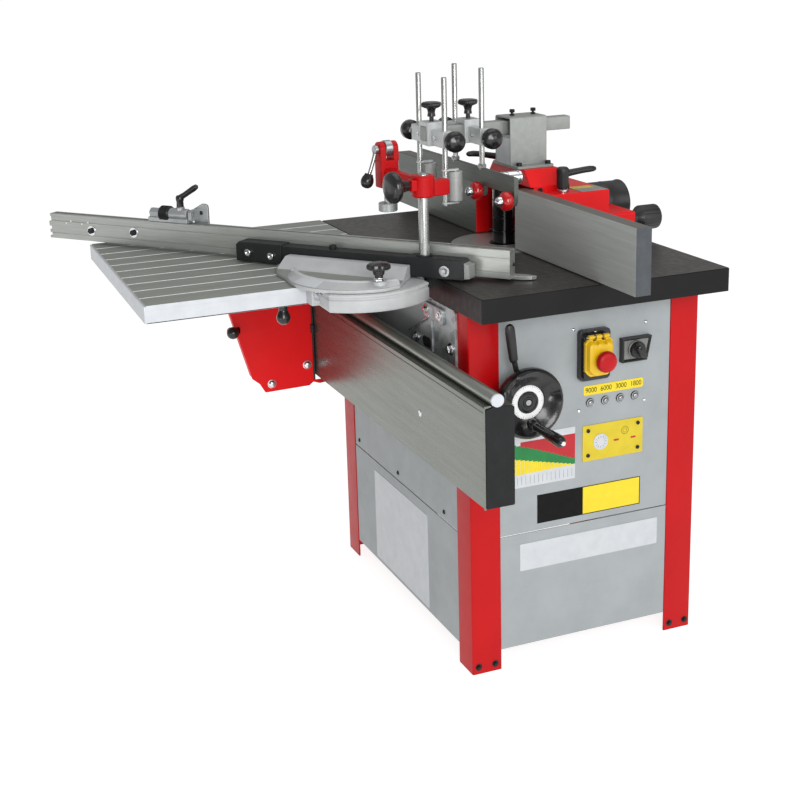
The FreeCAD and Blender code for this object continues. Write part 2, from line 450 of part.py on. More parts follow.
# ---- fence hood --------------------------------------------------------------------
hy0 = FENCE_Y + FENCE_T + 0.3
HX0, HX1, SHELF = -630.0, -306.0, 990.0
TOP = 1036.0
PORT_Z = 927.0
low = prism_x([(hy0, FENCE_Z0), (hy0, SHELF), (465, SHELF), (465, 934), (533, 934), (533, FENCE_Z0)], HX0, HX1)


def frustum(x0, x1, y0, y1, z, u0, u1, v0, v1, w):
    a = Part.makePolygon([V(x0, y0, z), V(x1, y0, z), V(x1, y1, z), V(x0, y1, z), V(x0, y0, z)])
    b = Part.makePolygon([V(u0, v0, w), V(u1, v0, w), V(u1, v1, w), V(u0, v1, w), V(u0, v0, w)])
    return Part.makeLoft([a, b], True, True)


cap_t = frustum(-578, -358, 294, 392, 1000, -549, -387, 294, 380, TOP)
neck = box(-578, -358, hy0, 392, SHELF - 4, 1002)
hood = fuse(low, cap_t)
hood = fuse(hood, neck)
hood = hood.cut(frustum(-570, -366, 299, 384, 970, -544, -392, 299, 375, TOP - 6))
hood = hood.cut(box(-612, -324, hy0 - 5, 396, FENCE_Z0 - 1, SHELF - 8))
hood = hood.cut(box(-600, -336, 408, 457, FENCE_Z0 - 1, SHELF - 6))
hood = hood.cut(cyl((SPX, 385, PORT_Z), (0, 1, 0), 46.5, 200))
hood = hood.cut(box(-600, -336, 473, 525, FENCE_Z0 - 1, 926))
for x, y in ((-605, 346), (-331, 360)):
    hood = hood.cut(cyl((x, y, 960), (0, 0, 1), 6.06, 40))
hood = hood.cut(cyl((-340, 519, 910), (0, 1, 0), 6.06, 30))
port = tube((SPX, 465, PORT_Z), (0, 1, 0), 50, 46.5, 123)
port = port.cut(box(-600, -336, 455, 533, FENCE_Z0 - 1, 934))
save("fence_hood", hood, port)


def fence_plate(x0, x1):
    p = box(x0, x1, FENCE_Y, FENCE_Y + FENCE_T, FENCE_Z0, FENCE_Z1)
    return p.makeChamfer(1.5, [e for e in p.Edges if e.BoundBox.XLength > 50 and e.BoundBox.ZMin > FENCE_Z1 - 1])


save("fence_plate_right", fence_plate(FR_X0, FR_X1))
save("fence_plate_left", fence_plate(FL_X0, FL_X1))


def clamp(x, y, z, hd, ln, z0, z1):
    c = math.cos(math.radians(hd)), math.sin(math.radians(hd))
    return fuse(cyl((x, y, z - 7), (0, 0, 1), 6, 12), cyl((x, y, z + 0.3), (0, 0, 1), 9, 8), cone((x, y, z + 6), (0, 0, 1), 12, 14.5, 50),
                taper((x, y, z + z0), (x + ln * c[0], y + ln * c[1], z + z1), 9, 7), ball((x + ln * c[0], y + ln * c[1], z + z1), 7))


save("clamp_lever_right", clamp(-331.0, 360.0, SHELF, 88.0, 76, 40, 46))
save("clamp_lever_left", clamp(-605.0, 346.0, SHELF, 270.0, 86, 44, 58))
save("depth_knob", fuse(cyl((-340, 521, 910), (0, 1, 0), 6, 20),
                        lathe([(0, 0.3), (17, 0.3), (17, 18), (28.5, 30), (28.5, 72), (25, 78), (0, 78)], (-340, 533, 910), (0, 1, 0))))

# ---- presser bar over the cutter -----------------------------------------------------
s = 0.5 * PB_S
bk = fuse(box(PB_X - 38, PB_X + 38, 281, 373, TOP + 5, 1149), box(PB_X - 62, PB_X + 68, 283, 378, TOP, TOP + 6))
bk = bk.cut(box(PB_X - s - 0.3, PB_X + s + 0.3, 270, 400, PB_Z - s - 0.3, PB_Z + s + 0.3))
bk = bk.cut(box(PB_X - 33, PB_X + 33, 270, 400, TOP + 6, 1102))
sc = [fuse(cyl((PB_X, y, 1143), (0, 0, 1), 4, 12), hexnut((PB_X, y, 1151), (0, 0, 1), 13, 12)) for y in (305, 358)]
bs = [cyl((PB_X + dx, y, TOP + 6), (0, 0, 1), 6.5, 7) for dx in (-51, 53) for y in (295, 368)]
save("presser_bracket", fuse(bk, *sc), *bs)
save("presser_bar", box(PB_X - s, PB_X + s, 84, 446, PB_Z - s, PB_Z + s))


def saddle(y):
    m = box(PB_X - 25, PB_X + 25, y - 20, y + 20, PB_Z - 26, PB_Z + 26)
    cr = box(PB_X - 88, PB_X + 88, y - 12, y + 12, PB_Z - 24, PB_Z + 12)
    t = fuse(m, cr).cut(box(PB_X - s - 0.3, PB_X + s + 0.3, y - 30, y + 30, PB_Z - s - 0.3, PB_Z + s + 0.3))
    for dx in (-ROD_DX, ROD_DX):
        t = t.cut(cyl((PB_X + dx, y, PB_Z - 60), (0, 0, 1), ROD_R + 0.06, 120))
    t = fuse(t, cyl((PB_X, y, PB_Z + 25), (0, 0, 1), 5, 16), cyl((PB_X, y, PB_Z + 36), (0, 0, 1), 10, 20),
             lathe([(0, 0), (16, 0), (24, 5), (24, 10), (19, 14), (0, 15)], (PB_X, y, PB_Z + 54), (0, 0, 1)))
    for sx in (-1, 1):
        x = PB_X + sx * 87
        t = fuse(t, cyl((x, y, PB_Z - 6), (sx, 0, 0), 8, 24),
                 lathe([(0, 0), (12, 0), (22.5, 9), (22.5, 21), (17, 29), (0, 32)], (x + sx * 22, y, PB_Z - 6), (sx, 0, 0)))
    return t


save("front_saddle", saddle(SAD_F))
save("rear_saddle", saddle(SAD_R))

# front rods end in foot plates that carry upright rollers on pins
rods = []
for dx in (-ROD_DX, ROD_DX):
    x = PB_X + dx
    rods.append(fuse(cyl((x, SAD_F, 972), (0, 0, 1), ROD_R, 280), box(x - 6, x + 6, SAD_F - 8, SAD_F + 32, 976, 980),
                     box(x - 6, x + 6, SAD_F - 8, SAD_F + 32, 1049, 1053), cyl((x, SAD_F + 23.5, 978), (0, 0, 1), 4, 73)))
save("front_presser_rods", *rods)
for nm, dx in (("front_roller_left", -ROD_DX), ("front_roller_right", ROD_DX)):
    save(nm, lathe([(4.06, 0), (15, 0), (16, 1.5), (16, 64.5), (15, 66), (4.06, 66)], (PB_X + dx, SAD_F + 23.5, 981.5), (0, 0, 1)))
RX = (-392.0, -245.0)
rb = fuse(box(-748, -232, SAD_R - 5, SAD_R + 5, 1012, 1050), *[cyl((PB_X + dx, SAD_R, 1045), (0, 0, 1), ROD_R, 222) for dx in (-ROD_DX, ROD_DX)])
for x in RX:
    rb = fuse(rb, box(x - 13, x + 13, SAD_R - 5, SAD_R + 5, 988, 1014), cyl((x, SAD_R - 32, 1000), (0, 1, 0), 6, 30),
              lathe([(0, 0), (11, 0), (11, 7), (7, 11.5), (0, 13)], (x, SAD_R - 30.5, 1000), (0, -1, 0)))
rb = fuse(rb, cyl((-312, SAD_R + 4, 1036), (0, 1, 0), 15, 46))
save("roller_bar", rb)
for nm, x in (("press_roller_left", RX[0]), ("press_roller_right", RX[1])):
    save(nm, lathe([(6.06, 0), (14, 0), (19.5, 4.5), (21, 12), (19.5, 19.5), (14, 24), (6.06, 24)], (x, SAD_R - 30, 1000), (0, 1, 0)))
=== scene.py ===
import bpy, bmesh, math
from mathutils import Vector, Matrix


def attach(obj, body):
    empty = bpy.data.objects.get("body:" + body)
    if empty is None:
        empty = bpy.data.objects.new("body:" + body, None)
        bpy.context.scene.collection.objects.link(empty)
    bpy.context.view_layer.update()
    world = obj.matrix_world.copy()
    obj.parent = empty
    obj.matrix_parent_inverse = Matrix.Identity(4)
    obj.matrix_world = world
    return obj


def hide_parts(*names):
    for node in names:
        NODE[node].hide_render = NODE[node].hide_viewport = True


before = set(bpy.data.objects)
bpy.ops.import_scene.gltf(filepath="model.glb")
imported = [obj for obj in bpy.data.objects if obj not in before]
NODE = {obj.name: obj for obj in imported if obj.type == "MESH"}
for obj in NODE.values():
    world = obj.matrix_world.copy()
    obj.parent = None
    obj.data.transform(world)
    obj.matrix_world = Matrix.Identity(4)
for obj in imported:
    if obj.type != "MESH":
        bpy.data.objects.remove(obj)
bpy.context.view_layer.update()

# Spindle moulder. Lengths below are millimetres from the near corner of the main
# table (x along the fence, y to the back, z up); they are moved to the part's
# frame and to metres when a mesh is made.
SX, SY = 447.0, 24.55


# ---------------------------------------------------------------- materials
def srgb(r, g, b):
    def lin(c):
        c /= 255.0
        return c / 12.92 if c <= 0.04045 else ((c + 0.055) / 1.055) ** 2.4
    return (lin(r), lin(g), lin(b), 1.0)


MAT = {}


def material(name, dark, light, rough, metal=0.0, scale=6.0, stretch=(1, 1, 1), bump=0.0, bscale=250.0,
             bstretch=(1, 1, 1), dist=0.0004, coat=0.0, spec=0.5, cells=False, edge=None, fine=None):
    m = bpy.data.materials.new(name)
    m.use_nodes = True
    nt = m.node_tree
    N, L = nt.nodes.new, nt.links.new
    b = nt.nodes["Principled BSDF"]
    b.inputs["Metallic"].default_value = metal
    b.inputs["Coat Weight"].default_value = coat
    b.inputs["Coat Roughness"].default_value = 0.08
    b.inputs["Specular IOR Level"].default_value = spec
    tc = N("ShaderNodeTexCoord")
    mp = N("ShaderNodeMapping")
    mp.inputs["Scale"].default_value = stretch
    L(tc.outputs["Object"], mp.inputs["Vector"])
    if cells:
        t = N("ShaderNodeTexVoronoi")
        t.inputs["Scale"].default_value = scale
        t.inputs["Randomness"].default_value = 1.0
        sep = N("ShaderNodeSeparateColor")
        L(mp.outputs["Vector"], t.inputs["Vector"])
        L(t.outputs["Color"], sep.inputs["Color"])
        val = sep.outputs["Red"]
    else:
        t = N("ShaderNodeTexNoise")
        t.inputs["Scale"].default_value = scale
        t.inputs["Detail"].default_value = 6.0
        t.inputs["Roughness"].default_value = 0.6
        L(mp.outputs["Vector"], t.inputs["Vector"])
        val = t.outputs["Fac"]
    ramp = N("ShaderNodeValToRGB")
    ramp.color_ramp.elements[0].position = 0.3
    ramp.color_ramp.elements[1].position = 0.7
    ramp.color_ramp.elements[0].color = dark
    ramp.color_ramp.elements[1].color = light
    L(val, ramp.inputs["Fac"])
    col = ramp.outputs["Color"]
    if edge is not None:
        geo = N("ShaderNodeNewGeometry")
        sx = N("ShaderNodeSeparateXYZ")
        L(geo.outputs["Normal"], sx.inputs["Vector"])
        er = N("ShaderNodeMapRange")
        er.inputs["From Min"].default_value = 0.80
        er.inputs["From Max"].default_value = 0.97
        L(sx.outputs["Z"], er.inputs["Value"])
        e2 = N("ShaderNodeValToRGB")
        e2.color_ramp.elements[0].position = 0.3
        e2.color_ramp.elements[1].position = 0.7
        e2.color_ramp.elements[0].color = edge[0]
        e2.color_ramp.elements[1].color = edge[1]
        L(val, e2.inputs["Fac"])
        mx = N("ShaderNodeMix")
        mx.data_type = 'RGBA'
        L(er.outputs["Result"], mx.inputs["Factor"])
        L(e2.outputs["Color"], mx.inputs[6])
        L(col, mx.inputs[7])
        col = mx.outputs[2]
    L(col, b.inputs["Base Color"])
    rr = N("ShaderNodeMapRange")
    rr.inputs["From Min"].default_value = 0.25
    rr.inputs["From Max"].default_value = 0.75
    rr.inputs["To Min"].default_value = rough[0]
    rr.inputs["To Max"].default_value = rough[1]
    t2 = N("ShaderNodeTexNoise")
    t2.inputs["Scale"].default_value = fine or scale * 5.0
    t2.inputs["Detail"].default_value = 4.0
    L(mp.outputs["Vector"], t2.inputs["Vector"])
    L(t2.outputs["Fac"], rr.inputs["Value"])
    L(rr.outputs["Result"], b.inputs["Roughness"])
    if bump:
        mb = N("ShaderNodeMapping")
        mb.inputs["Scale"].default_value = bstretch
        L(tc.outputs["Object"], mb.inputs["Vector"])
        t3 = N("ShaderNodeTexNoise")
        t3.inputs["Scale"].default_value = bscale
        t3.inputs["Detail"].default_value = 3.0
        L(mb.outputs["Vector"], t3.inputs["Vector"])
        bp = N("ShaderNodeBump")
        bp.inputs["Strength"].default_value = bump
        bp.inputs["Distance"].default_value = dist
        L(t3.outputs["Fac"], bp.inputs["Height"])
        L(bp.outputs["Normal"], b.inputs["Normal"])
    m.diffuse_color = light
    MAT[name] = m
    return m


material("red", srgb(170, 3, 8), srgb(181, 6, 12), (0.34, 0.44), spec=0.18, coat=0.05, scale=5, bump=0.06, bscale=420, dist=0.0003)
# painted light: a brighter copy of the red paint, standing in for light falling on the carriage cheeks, the fence hood
# and the left fence board's inner end
material("redcar", srgb(206, 8, 12), srgb(218, 14, 18), (0.34, 0.44), spec=0.2, coat=0.05, scale=5, bump=0.06, bscale=420, dist=0.0003)
material("panel", srgb(140, 145, 147), srgb(152, 157, 159), (0.44, 0.56), scale=9, bump=0.16, bscale=1400, dist=0.0002)
material("tablecast", srgb(50, 47, 45), srgb(64, 60, 57), (0.32, 0.46), metal=0.30, scale=14, bump=0.10, bscale=700, dist=0.0002, spec=0.35,
         edge=(srgb(10, 10, 11), srgb(16, 16, 17)))
material("ringcast", srgb(160, 160, 157), srgb(178, 178, 175), (0.34, 0.48), metal=0.55, scale=30, bump=0.10, bscale=600)
material("cast", srgb(168, 170, 171), srgb(180, 182, 183), (0.42, 0.56), metal=0.15, scale=26, bump=0.20, bscale=520, dist=0.0003)
material("scale", srgb(196, 195, 190), srgb(208, 207, 203), (0.40, 0.50), scale=40, bump=0.05)
material("plank", srgb(134, 137, 130), srgb(148, 151, 144), (0.44, 0.54), metal=0.35, scale=20, stretch=(4, 0.3, 4), bump=0.06,
         bscale=300, bstretch=(6, 0.06, 6), dist=0.0002)
# painted highlight: a lighter copy of the plank finish for the plank chamfers and the mitre sector's crest
material("plankedge", srgb(198, 201, 203), srgb(212, 214, 216), (0.30, 0.40), metal=0.45, scale=30)
# bright finish for the sliding table ends and bar ends; also painted light on the presser bracket's front plate and on
# a band of the mitre rim
material("endwhite", srgb(186, 190, 194), srgb(198, 201, 205), (0.40, 0.50), metal=0.15, scale=30, bump=0.05)
material("alu_m", srgb(158, 161, 156), srgb(174, 177, 173), (0.30, 0.40), metal=0.65, scale=30, stretch=(0.5, 0.5, 9), bump=0.06,
         bscale=300, bstretch=(0.06, 0.06, 6), dist=0.0002)
material("alu", srgb(160, 163, 164), srgb(180, 183, 184), (0.32, 0.44), metal=0.70, scale=26, bump=0.08, bscale=600)
material("fence", srgb(164, 167, 164), srgb(180, 183, 180), (0.38, 0.50), metal=0.50, scale=26, stretch=(0.25, 8, 8), bump=0.12,
         bscale=260, bstretch=(0.05, 5, 5), dist=0.0002)
# painted shade: a darker copy of the fence finish for the left board's face, which lies in shade
material("fencedull", srgb(92, 96, 91), srgb(106, 110, 105), (0.38, 0.50), metal=0.50, scale=26, stretch=(0.25, 8, 8), bump=0.10,
         bscale=260, bstretch=(0.05, 5, 5), dist=0.0002)
# painted shade: a darker copy of the fence finish for the boards' top faces
material("fencetop", srgb(96, 93, 88), srgb(110, 106, 101), (0.42, 0.52), metal=0.45, scale=26, stretch=(0.25, 6, 6), bump=0.08, bscale=260, bstretch=(0.05, 5, 5))
material("fenceend", srgb(66, 69, 74), srgb(78, 81, 86), (0.42, 0.54), metal=0.4, scale=40, bump=0.12, bscale=500)
# painted shade: a darker copy of the fence finish for the roller carrier strip, which lies in shade
material("carrier", srgb(90, 95, 90), srgb(103, 108, 103), (0.38, 0.50), metal=0.50, scale=26, stretch=(0.25, 8, 8), bump=0.10,
         bscale=260, bstretch=(0.05, 5, 5), dist=0.0002)
material("beamface", srgb(114, 117, 111), srgb(128, 131, 125), (0.24, 0.34), metal=0.80, scale=18, stretch=(0.2, 5, 5), bump=0.04,
         bscale=200, bstretch=(0.05, 5, 5), dist=0.0002)
material("guidebar", srgb(140, 143, 137), srgb(154, 157, 150), (0.28, 0.36), metal=0.85, scale=30, stretch=(0.3, 3, 3))
material("galv", srgb(148, 152, 153), srgb(176, 179, 180), (0.34, 0.46), metal=0.60, scale=60, cells=True, bump=0.08, bscale=700)
material("bracketgrey", srgb(138, 141, 138), srgb(150, 153, 150), (0.38, 0.50), metal=0.35, scale=60, bump=0.08, bscale=600)
material("chrome", srgb(214, 216, 219), srgb(232, 233, 235), (0.10, 0.18), metal=1.0, scale=40)
material("steel", srgb(158, 160, 161), srgb(182, 184, 185), (0.24, 0.36), metal=0.90, scale=50, stretch=(1, 1, 0.3), bump=0.06, bscale=800)
material("rod", srgb(164, 166, 163), srgb(182, 184, 181), (0.22, 0.30), metal=0.90, scale=40)
material("saddlegrey", srgb(186, 189, 190), srgb(202, 205, 205), (0.36, 0.48), metal=0.45, scale=40, bump=0.12, bscale=700)
material("oxide", srgb(26, 26, 27), srgb(38, 38, 40), (0.32, 0.46), metal=0.45, scale=40, bump=0.14, bscale=700)
material("barblack", srgb(22, 23, 24), srgb(34, 35, 37), (0.40, 0.52), metal=0.20, scale=26, bump=0.24, bscale=380, dist=0.0003)
material("gloss", srgb(12, 12, 13), srgb(20, 20, 21), (0.10, 0.18), metal=0.35, scale=40, coat=0.4)
material("plas", srgb(20, 20, 21), srgb(30, 30, 31), (0.36, 0.48), scale=40, bump=0.14, bscale=900, dist=0.0002)
material("plasg", srgb(16, 16, 17), srgb(24, 24, 25), (0.20, 0.30), scale=40, bump=0.05, bscale=700, coat=0.15)
material("rubber", srgb(26, 26, 27), srgb(36, 36, 37), (0.60, 0.74), scale=60, bump=0.2, bscale=900)
material("capblack", srgb(15, 16, 17), srgb(24, 25, 27), (0.50, 0.62), spec=0.28, scale=30, bump=0.12, bscale=700)
material("yellow", srgb(210, 168, 8), srgb(219, 179, 16), (0.32, 0.44), scale=30, bump=0.06, bscale=800)
material("redplas", srgb(164, 4, 12), srgb(176, 8, 18), (0.36, 0.46), spec=0.25, scale=40, bump=0.05, bscale=800)
material("redroller", srgb(164, 6, 12), srgb(178, 12, 18), (0.16, 0.26), scale=40, coat=0.3)
material("cream", srgb(216, 218, 216), srgb(226, 228, 226), (0.42, 0.54), scale=50, bump=0.05, bscale=900)
material("ink", srgb(14, 14, 14), srgb(20, 20, 19), (0.55, 0.65), spec=0.12, scale=60)
material("labyellow", srgb(214, 190, 18), srgb(222, 199, 28), (0.38, 0.48), scale=40)
material("plateyellow", srgb(192, 170, 18), srgb(203, 182, 28), (0.36, 0.46), scale=30)
material("white", srgb(180, 184, 188), srgb(190, 193, 196), (0.40, 0.50), scale=40)
material("chartred", srgb(164, 10, 24), srgb(174, 14, 30), (0.40, 0.50), scale=40)
material("chartgreen", srgb(2, 108, 48), srgb(8, 120, 56), (0.40, 0.50), scale=40)
material("chartyellow", srgb(208, 186, 0), srgb(218, 196, 6), (0.40, 0.50), scale=40)
material("greenplas", srgb(10, 100, 40), srgb(18, 114, 50), (0.30, 0.40), scale=40, bump=0.06)
material("switchgrey", srgb(110, 110, 108), srgb(128, 128, 126), (0.36, 0.48), metal=0.3, scale=60, bump=0.14, bscale=900)
material("rollgrey", srgb(160, 162, 160), srgb(174, 176, 174), (0.36, 0.48), metal=0.25, scale=40, bump=0.06, bscale=700)
material("lens", srgb(120, 122, 126), srgb(168, 170, 174), (0.08, 0.16), metal=0.8, scale=260)
# painted shade: a near-black finish for sheets that stand in for the shade inside slots
material("void", srgb(8, 8, 8), srgb(14, 14, 14), (0.7, 0.8), scale=40)
material("motorpaint", srgb(96, 102, 108), srgb(112, 118, 124), (0.42, 0.55), scale=20, bump=0.3, bscale=400)


# ---------------------------------------------------------------- mesh builder
def frame_of(d):
    d = Vector(d).normalized()
    a = Vector((0, 0, 1)) if abs(d.z) < 0.9 else Vector((1, 0, 0))
    ex = a.cross(d).normalized()
    ey = d.cross(ex)
    return ex, ey, d


def rrect(x0, x1, y0, y1, r, n=5):
    out = []
    for cx, cy, a0 in ((x1 - r, y0 + r, -90), (x1 - r, y1 - r, 0), (x0 + r, y1 - r, 90), (x0 + r, y0 + r, 180)):
        for i in range(n + 1):
            a = math.radians(a0 + 90.0 * i / n)
            out.append((cx + r * math.cos(a), cy + r * math.sin(a)))
    return out


def arc(cx, cy, r, a0, a1, n):
    return [(cx + r * math.cos(math.radians(a0 + (a1 - a0) * i / n)), cy + r * math.sin(math.radians(a0 + (a1 - a0) * i / n))) for i in range(n + 1)]


class G:
    def __init__(s, m=None):
        s.v, s.f, s.m, s.b = [], [], [], []
        s.M = m or Matrix()

    def add(s, verts, faces, m, b=0.0):
        o = len(s.v)
        s.v += [s.M @ Vector(p) for p in verts]
        for i, f in enumerate(faces):
            s.f.append(tuple(j + o for j in f))
            s.m.append(m[i] if isinstance(m, (list, tuple)) else m)
            s.b.append(b)

    def box(s, x0, x1, y0, y1, z0, z1, m, b=1.0):
        v = [(x, y, z) for x in (x0, x1) for y in (y0, y1) for z in (z0, z1)]
        # faces: -x +x -y +y -z +z
        s.add(v, [(0, 1, 3, 2), (4, 6, 7, 5), (0, 4, 5, 1), (2, 3, 7, 6), (0, 2, 6, 4), (1, 5, 7, 3)], m, b)

    def prism(s, pts, axis, a, c, m, b=1.0):
        n = len(pts)
        put = {"x": lambda p, h: (h, p[0], p[1]), "y": lambda p, h: (p[0], h, p[1]), "z": lambda p, h: (p[0], p[1], h)}[axis]
        v = [put(p, a) for p in pts] + [put(p, c) for p in pts]
        f = [tuple(range(n))[::-1], tuple(range(n, 2 * n))] + [(i, (i + 1) % n, n + (i + 1) % n, n + i) for i in range(n)]
        s.add(v, f, m, b)

    def loft(s, rings, m, b=0.0):
        n = len(rings[0])
        v = [p for r in rings for p in r]
        f = [tuple(range(n))[::-1], tuple(range((len(rings) - 1) * n, len(rings) * n))]
        for k in range(len(rings) - 1):
            f += [(k * n + i, k * n + (i + 1) % n, (k + 1) * n + (i + 1) % n, (k + 1) * n + i) for i in range(n)]
        s.add(v, f, m, b)

    def lathe(s, prof, p, d, m, n=40, ring=False, mod=None, turn=0.0):
        ex, ey, ez = frame_of(d)
        p = Vector(p)
        v, rows = [], []
        for i, (r, h) in enumerate(prof):
            if r < 1e-6 and mod is None or r < 1e-6:
                rows.append([len(v)])
                v.append(p + ez * h)
                continue
            row = []
            for k in range(n):
                t = 2 * math.pi * k / n + turn
                rr, hh = mod(i, r, h, t) if mod else (r, h)
                row.append(len(v))
                v.append(p + ex * (rr * math.cos(t)) + ey * (rr * math.sin(t)) + ez * hh)
            rows.append(row)
        f, ms = [], []
        pairs = list(zip(rows[:-1], rows[1:]))
        if ring:
            pairs.append((rows[-1], rows[0]))
        for j, (a, c) in enumerate(pairs):
            mm = m[j] if isinstance(m, (list, tuple)) else m
            for k in range(n):
                q = (k + 1) % n
                if len(a) == 1 and len(c) == 1:
                    continue
                if len(a) == 1:
                    f.append((a[0], c[k], c[q]))
                elif len(c) == 1:
                    f.append((a[k], a[q], c[0]))
                else:
                    f.append((a[k], a[q], c[q], c[k]))
                ms.append(mm)
        if not ring:
            if len(rows[0]) > 1:
                f.append(tuple(rows[0])[::-1])
                ms.append(m[0] if isinstance(m, (list, tuple)) else m)
            if len(rows[-1]) > 1:
                f.append(tuple(rows[-1]))
                ms.append(m[-1] if isinstance(m, (list, tuple)) else m)
        s.add(v, f, ms, 0.0)

    def cyl(s, p, d, r, h, m, n=32, c=0.6):
        c = min(c, r * 0.4, h * 0.4)
        s.lathe([(0, 0), (r - c, 0), (r - c * 0.3, c * 0.3), (r, c), (r, h - c), (r - c * 0.3, h - c * 0.3), (r - c, h), (0, h)], p, d, m, n)

    def tube(s, p, d, ro, ri, h, m, n=40, c=0.6):
        s.lathe([(ri, c), (ri + c, 0), (ro - c, 0), (ro, c), (ro, h - c), (ro - c, h), (ri + c, h), (ri, h - c)], p, d, m, n, ring=True)

    def ball(s, c, r, m, n=28):
        k = 14
        s.lathe([(r * math.sin(math.pi * i / k) if 0 < i < k else 0.0, -r * math.cos(math.pi * i / k)) for i in range(k + 1)], c, (0, 0, 1), m, n)

    def hexa(s, p, d, af, h, m, turn=0.3):
        r = af / math.sqrt(3)
        s.lathe([(0, 0), (r * 0.97, 0), (r, 0.4), (r, h * 0.74), (r * 0.9, h), (0, h)], p, d, m, 6, turn=turn)

    def bolt(s, p, d, af, h, m="chrome", w=True, turn=0.3):
        p, dd = Vector(p), Vector(d).normalized()
        t = af * 0.13
        if w:
            s.tube(p, d, af * 0.98, af * 0.3, t, m, 28, 0.3)
        s.hexa(p + dd * (t if w else 0), d, af, h, m, turn)
        s.lathe([(0, 0), (af * 0.30, 0), (af * 0.26, h * 0.14), (0, h * 0.16)], p + dd * (h + (t if w else 0) - 0.05), d, m, 16)

    def socket(s, p, d, r, h, m="oxide"):
        """Cap screw with a knurled side and a hexagon recess."""
        s.lathe([(r * 0.5, h * 0.45), (0, h * 0.40)][::-1] + [(r * 0.52, h * 0.97), (r * 0.60, h), (r * 0.9, h), (r, h * 0.9), (r, h * 0.06), (r * 0.94, 0), (0, 0)],
                p, d, m, 24, mod=lambda i, rr, hh, t: (rr * (1 + (0.025 if i in (4, 5, 6) and int(round(t * 24 / (2 * math.pi))) % 2 else 0)), hh))

    def pan(s, p, d, r, h, m="chrome"):
        """Low domed screw head with a cross recess."""
        s.lathe([(0, h * 0.62), (r * 0.16, h * 0.62), (r * 0.30, h * 0.97), (r * 0.55, h * 0.88), (r * 0.85, h * 0.52), (r, h * 0.12), (r, 0), (0, 0)],
                p, d, m, 24, mod=lambda i, rr, hh, t: (rr * (1.7 if i == 1 and abs(math.sin(2 * t)) < 0.3 else 1.0), hh))

    def sweep(s, path, radii, m, n=16, flat=None):
        pts = [Vector(p) for p in path]
        rings, ref = [], None
        for i, p in enumerate(pts):
            d = (pts[min(i + 1, len(pts) - 1)] - pts[max(i - 1, 0)]).normalized()
            if ref is None:
                ref = frame_of(d)[0] if flat is None else Vector(flat)
            ex = (ref - d * ref.dot(d)).normalized()
            ey = d.cross(ex)
            ref = ex
            ra, rb = radii[i] if isinstance(radii[i], (list, tuple)) else (radii[i], radii[i])
            rings.append([p + ex * (ra * math.cos(2 * math.pi * k / n)) + ey * (rb * math.sin(2 * math.pi * k / n)) for k in range(n)])
        s.loft(rings, m)

    def holeplate(s, x0, x1, z0, z1, cx, cz, r, y0, y1, m, n=48):
        """Upright plate across y with one round hole."""
        ang = sorted(set([round(2 * math.pi * k / n, 6) for k in range(n)] +
                         [round(math.atan2(z - cz, x - cx) % (2 * math.pi), 6) for x in (x0, x1) for z in (z0, z1)]))
        inn, out = [], []
        for a in ang:
            c, q = math.cos(a), math.sin(a)
            ts = []
            if abs(c) > 1e-6:
                ts.append(((x1 if c > 0 else x0) - cx) / c)
            if abs(q) > 1e-6:
                ts.append(((z1 if q > 0 else z0) - cz) / q)
            t = min(ts)
            out.append((cx + t * c, cz + t * q))
            inn.append((cx + r * c, cz + r * q))
        k = len(ang)
        v = [(x, y0, z) for x, z in inn] + [(x, y0, z) for x, z in out] + [(x, y1, z) for x, z in inn] + [(x, y1, z) for x, z in out]
        f = []
        for i in range(k):
            j = (i + 1) % k
            f += [(i, j, k + j, k + i), (2 * k + i, 3 * k + i, 3 * k + j, 2 * k + j), (i, 2 * k + i, 2 * k + j, j), (k + i, k + j, 3 * k + j, 3 * k + i)]
        s.add(v, f, m, 0.0)

    def text(s, words, size, origin, xd, yd, m, depth=0.12, squeeze=1.0):
        cu = bpy.data.curves.new("glyphs", "FONT")
        cu.body = words
        cu.size = size
        cu.align_x, cu.align_y = "CENTER", "CENTER"
        ob = bpy.data.objects.new("glyphs", cu)
        bpy.context.scene.collection.objects.link(ob)
        dg = bpy.context.evaluated_depsgraph_get()
        me = bpy.data.meshes.new_from_object(ob.evaluated_get(dg))
        bm = bmesh.new()
        bm.from_mesh(me)
        bmesh.ops.remove_doubles(bm, verts=bm.verts, dist=1e-5)
        ex = bmesh.ops.extrude_face_region(bm, geom=list(bm.faces))
        xd, yd = Vector(xd), Vector(yd)
        nd = xd.cross(yd)
        up = {e for e in ex["geom"] if isinstance(e, bmesh.types.BMVert)}
        bm.verts.index_update()
        v = []
        for q in bm.verts:
            v.append(Vector(origin) + xd * (q.co.x * squeeze) + yd * q.co.y + nd * (depth if q in up else 0.0))
        s.add(v, [tuple(q.index for q in f.verts) for f in bm.faces], m)
        bm.free()
        bpy.data.objects.remove(ob)
        bpy.data.curves.remove(cu)
        bpy.data.meshes.remove(me)

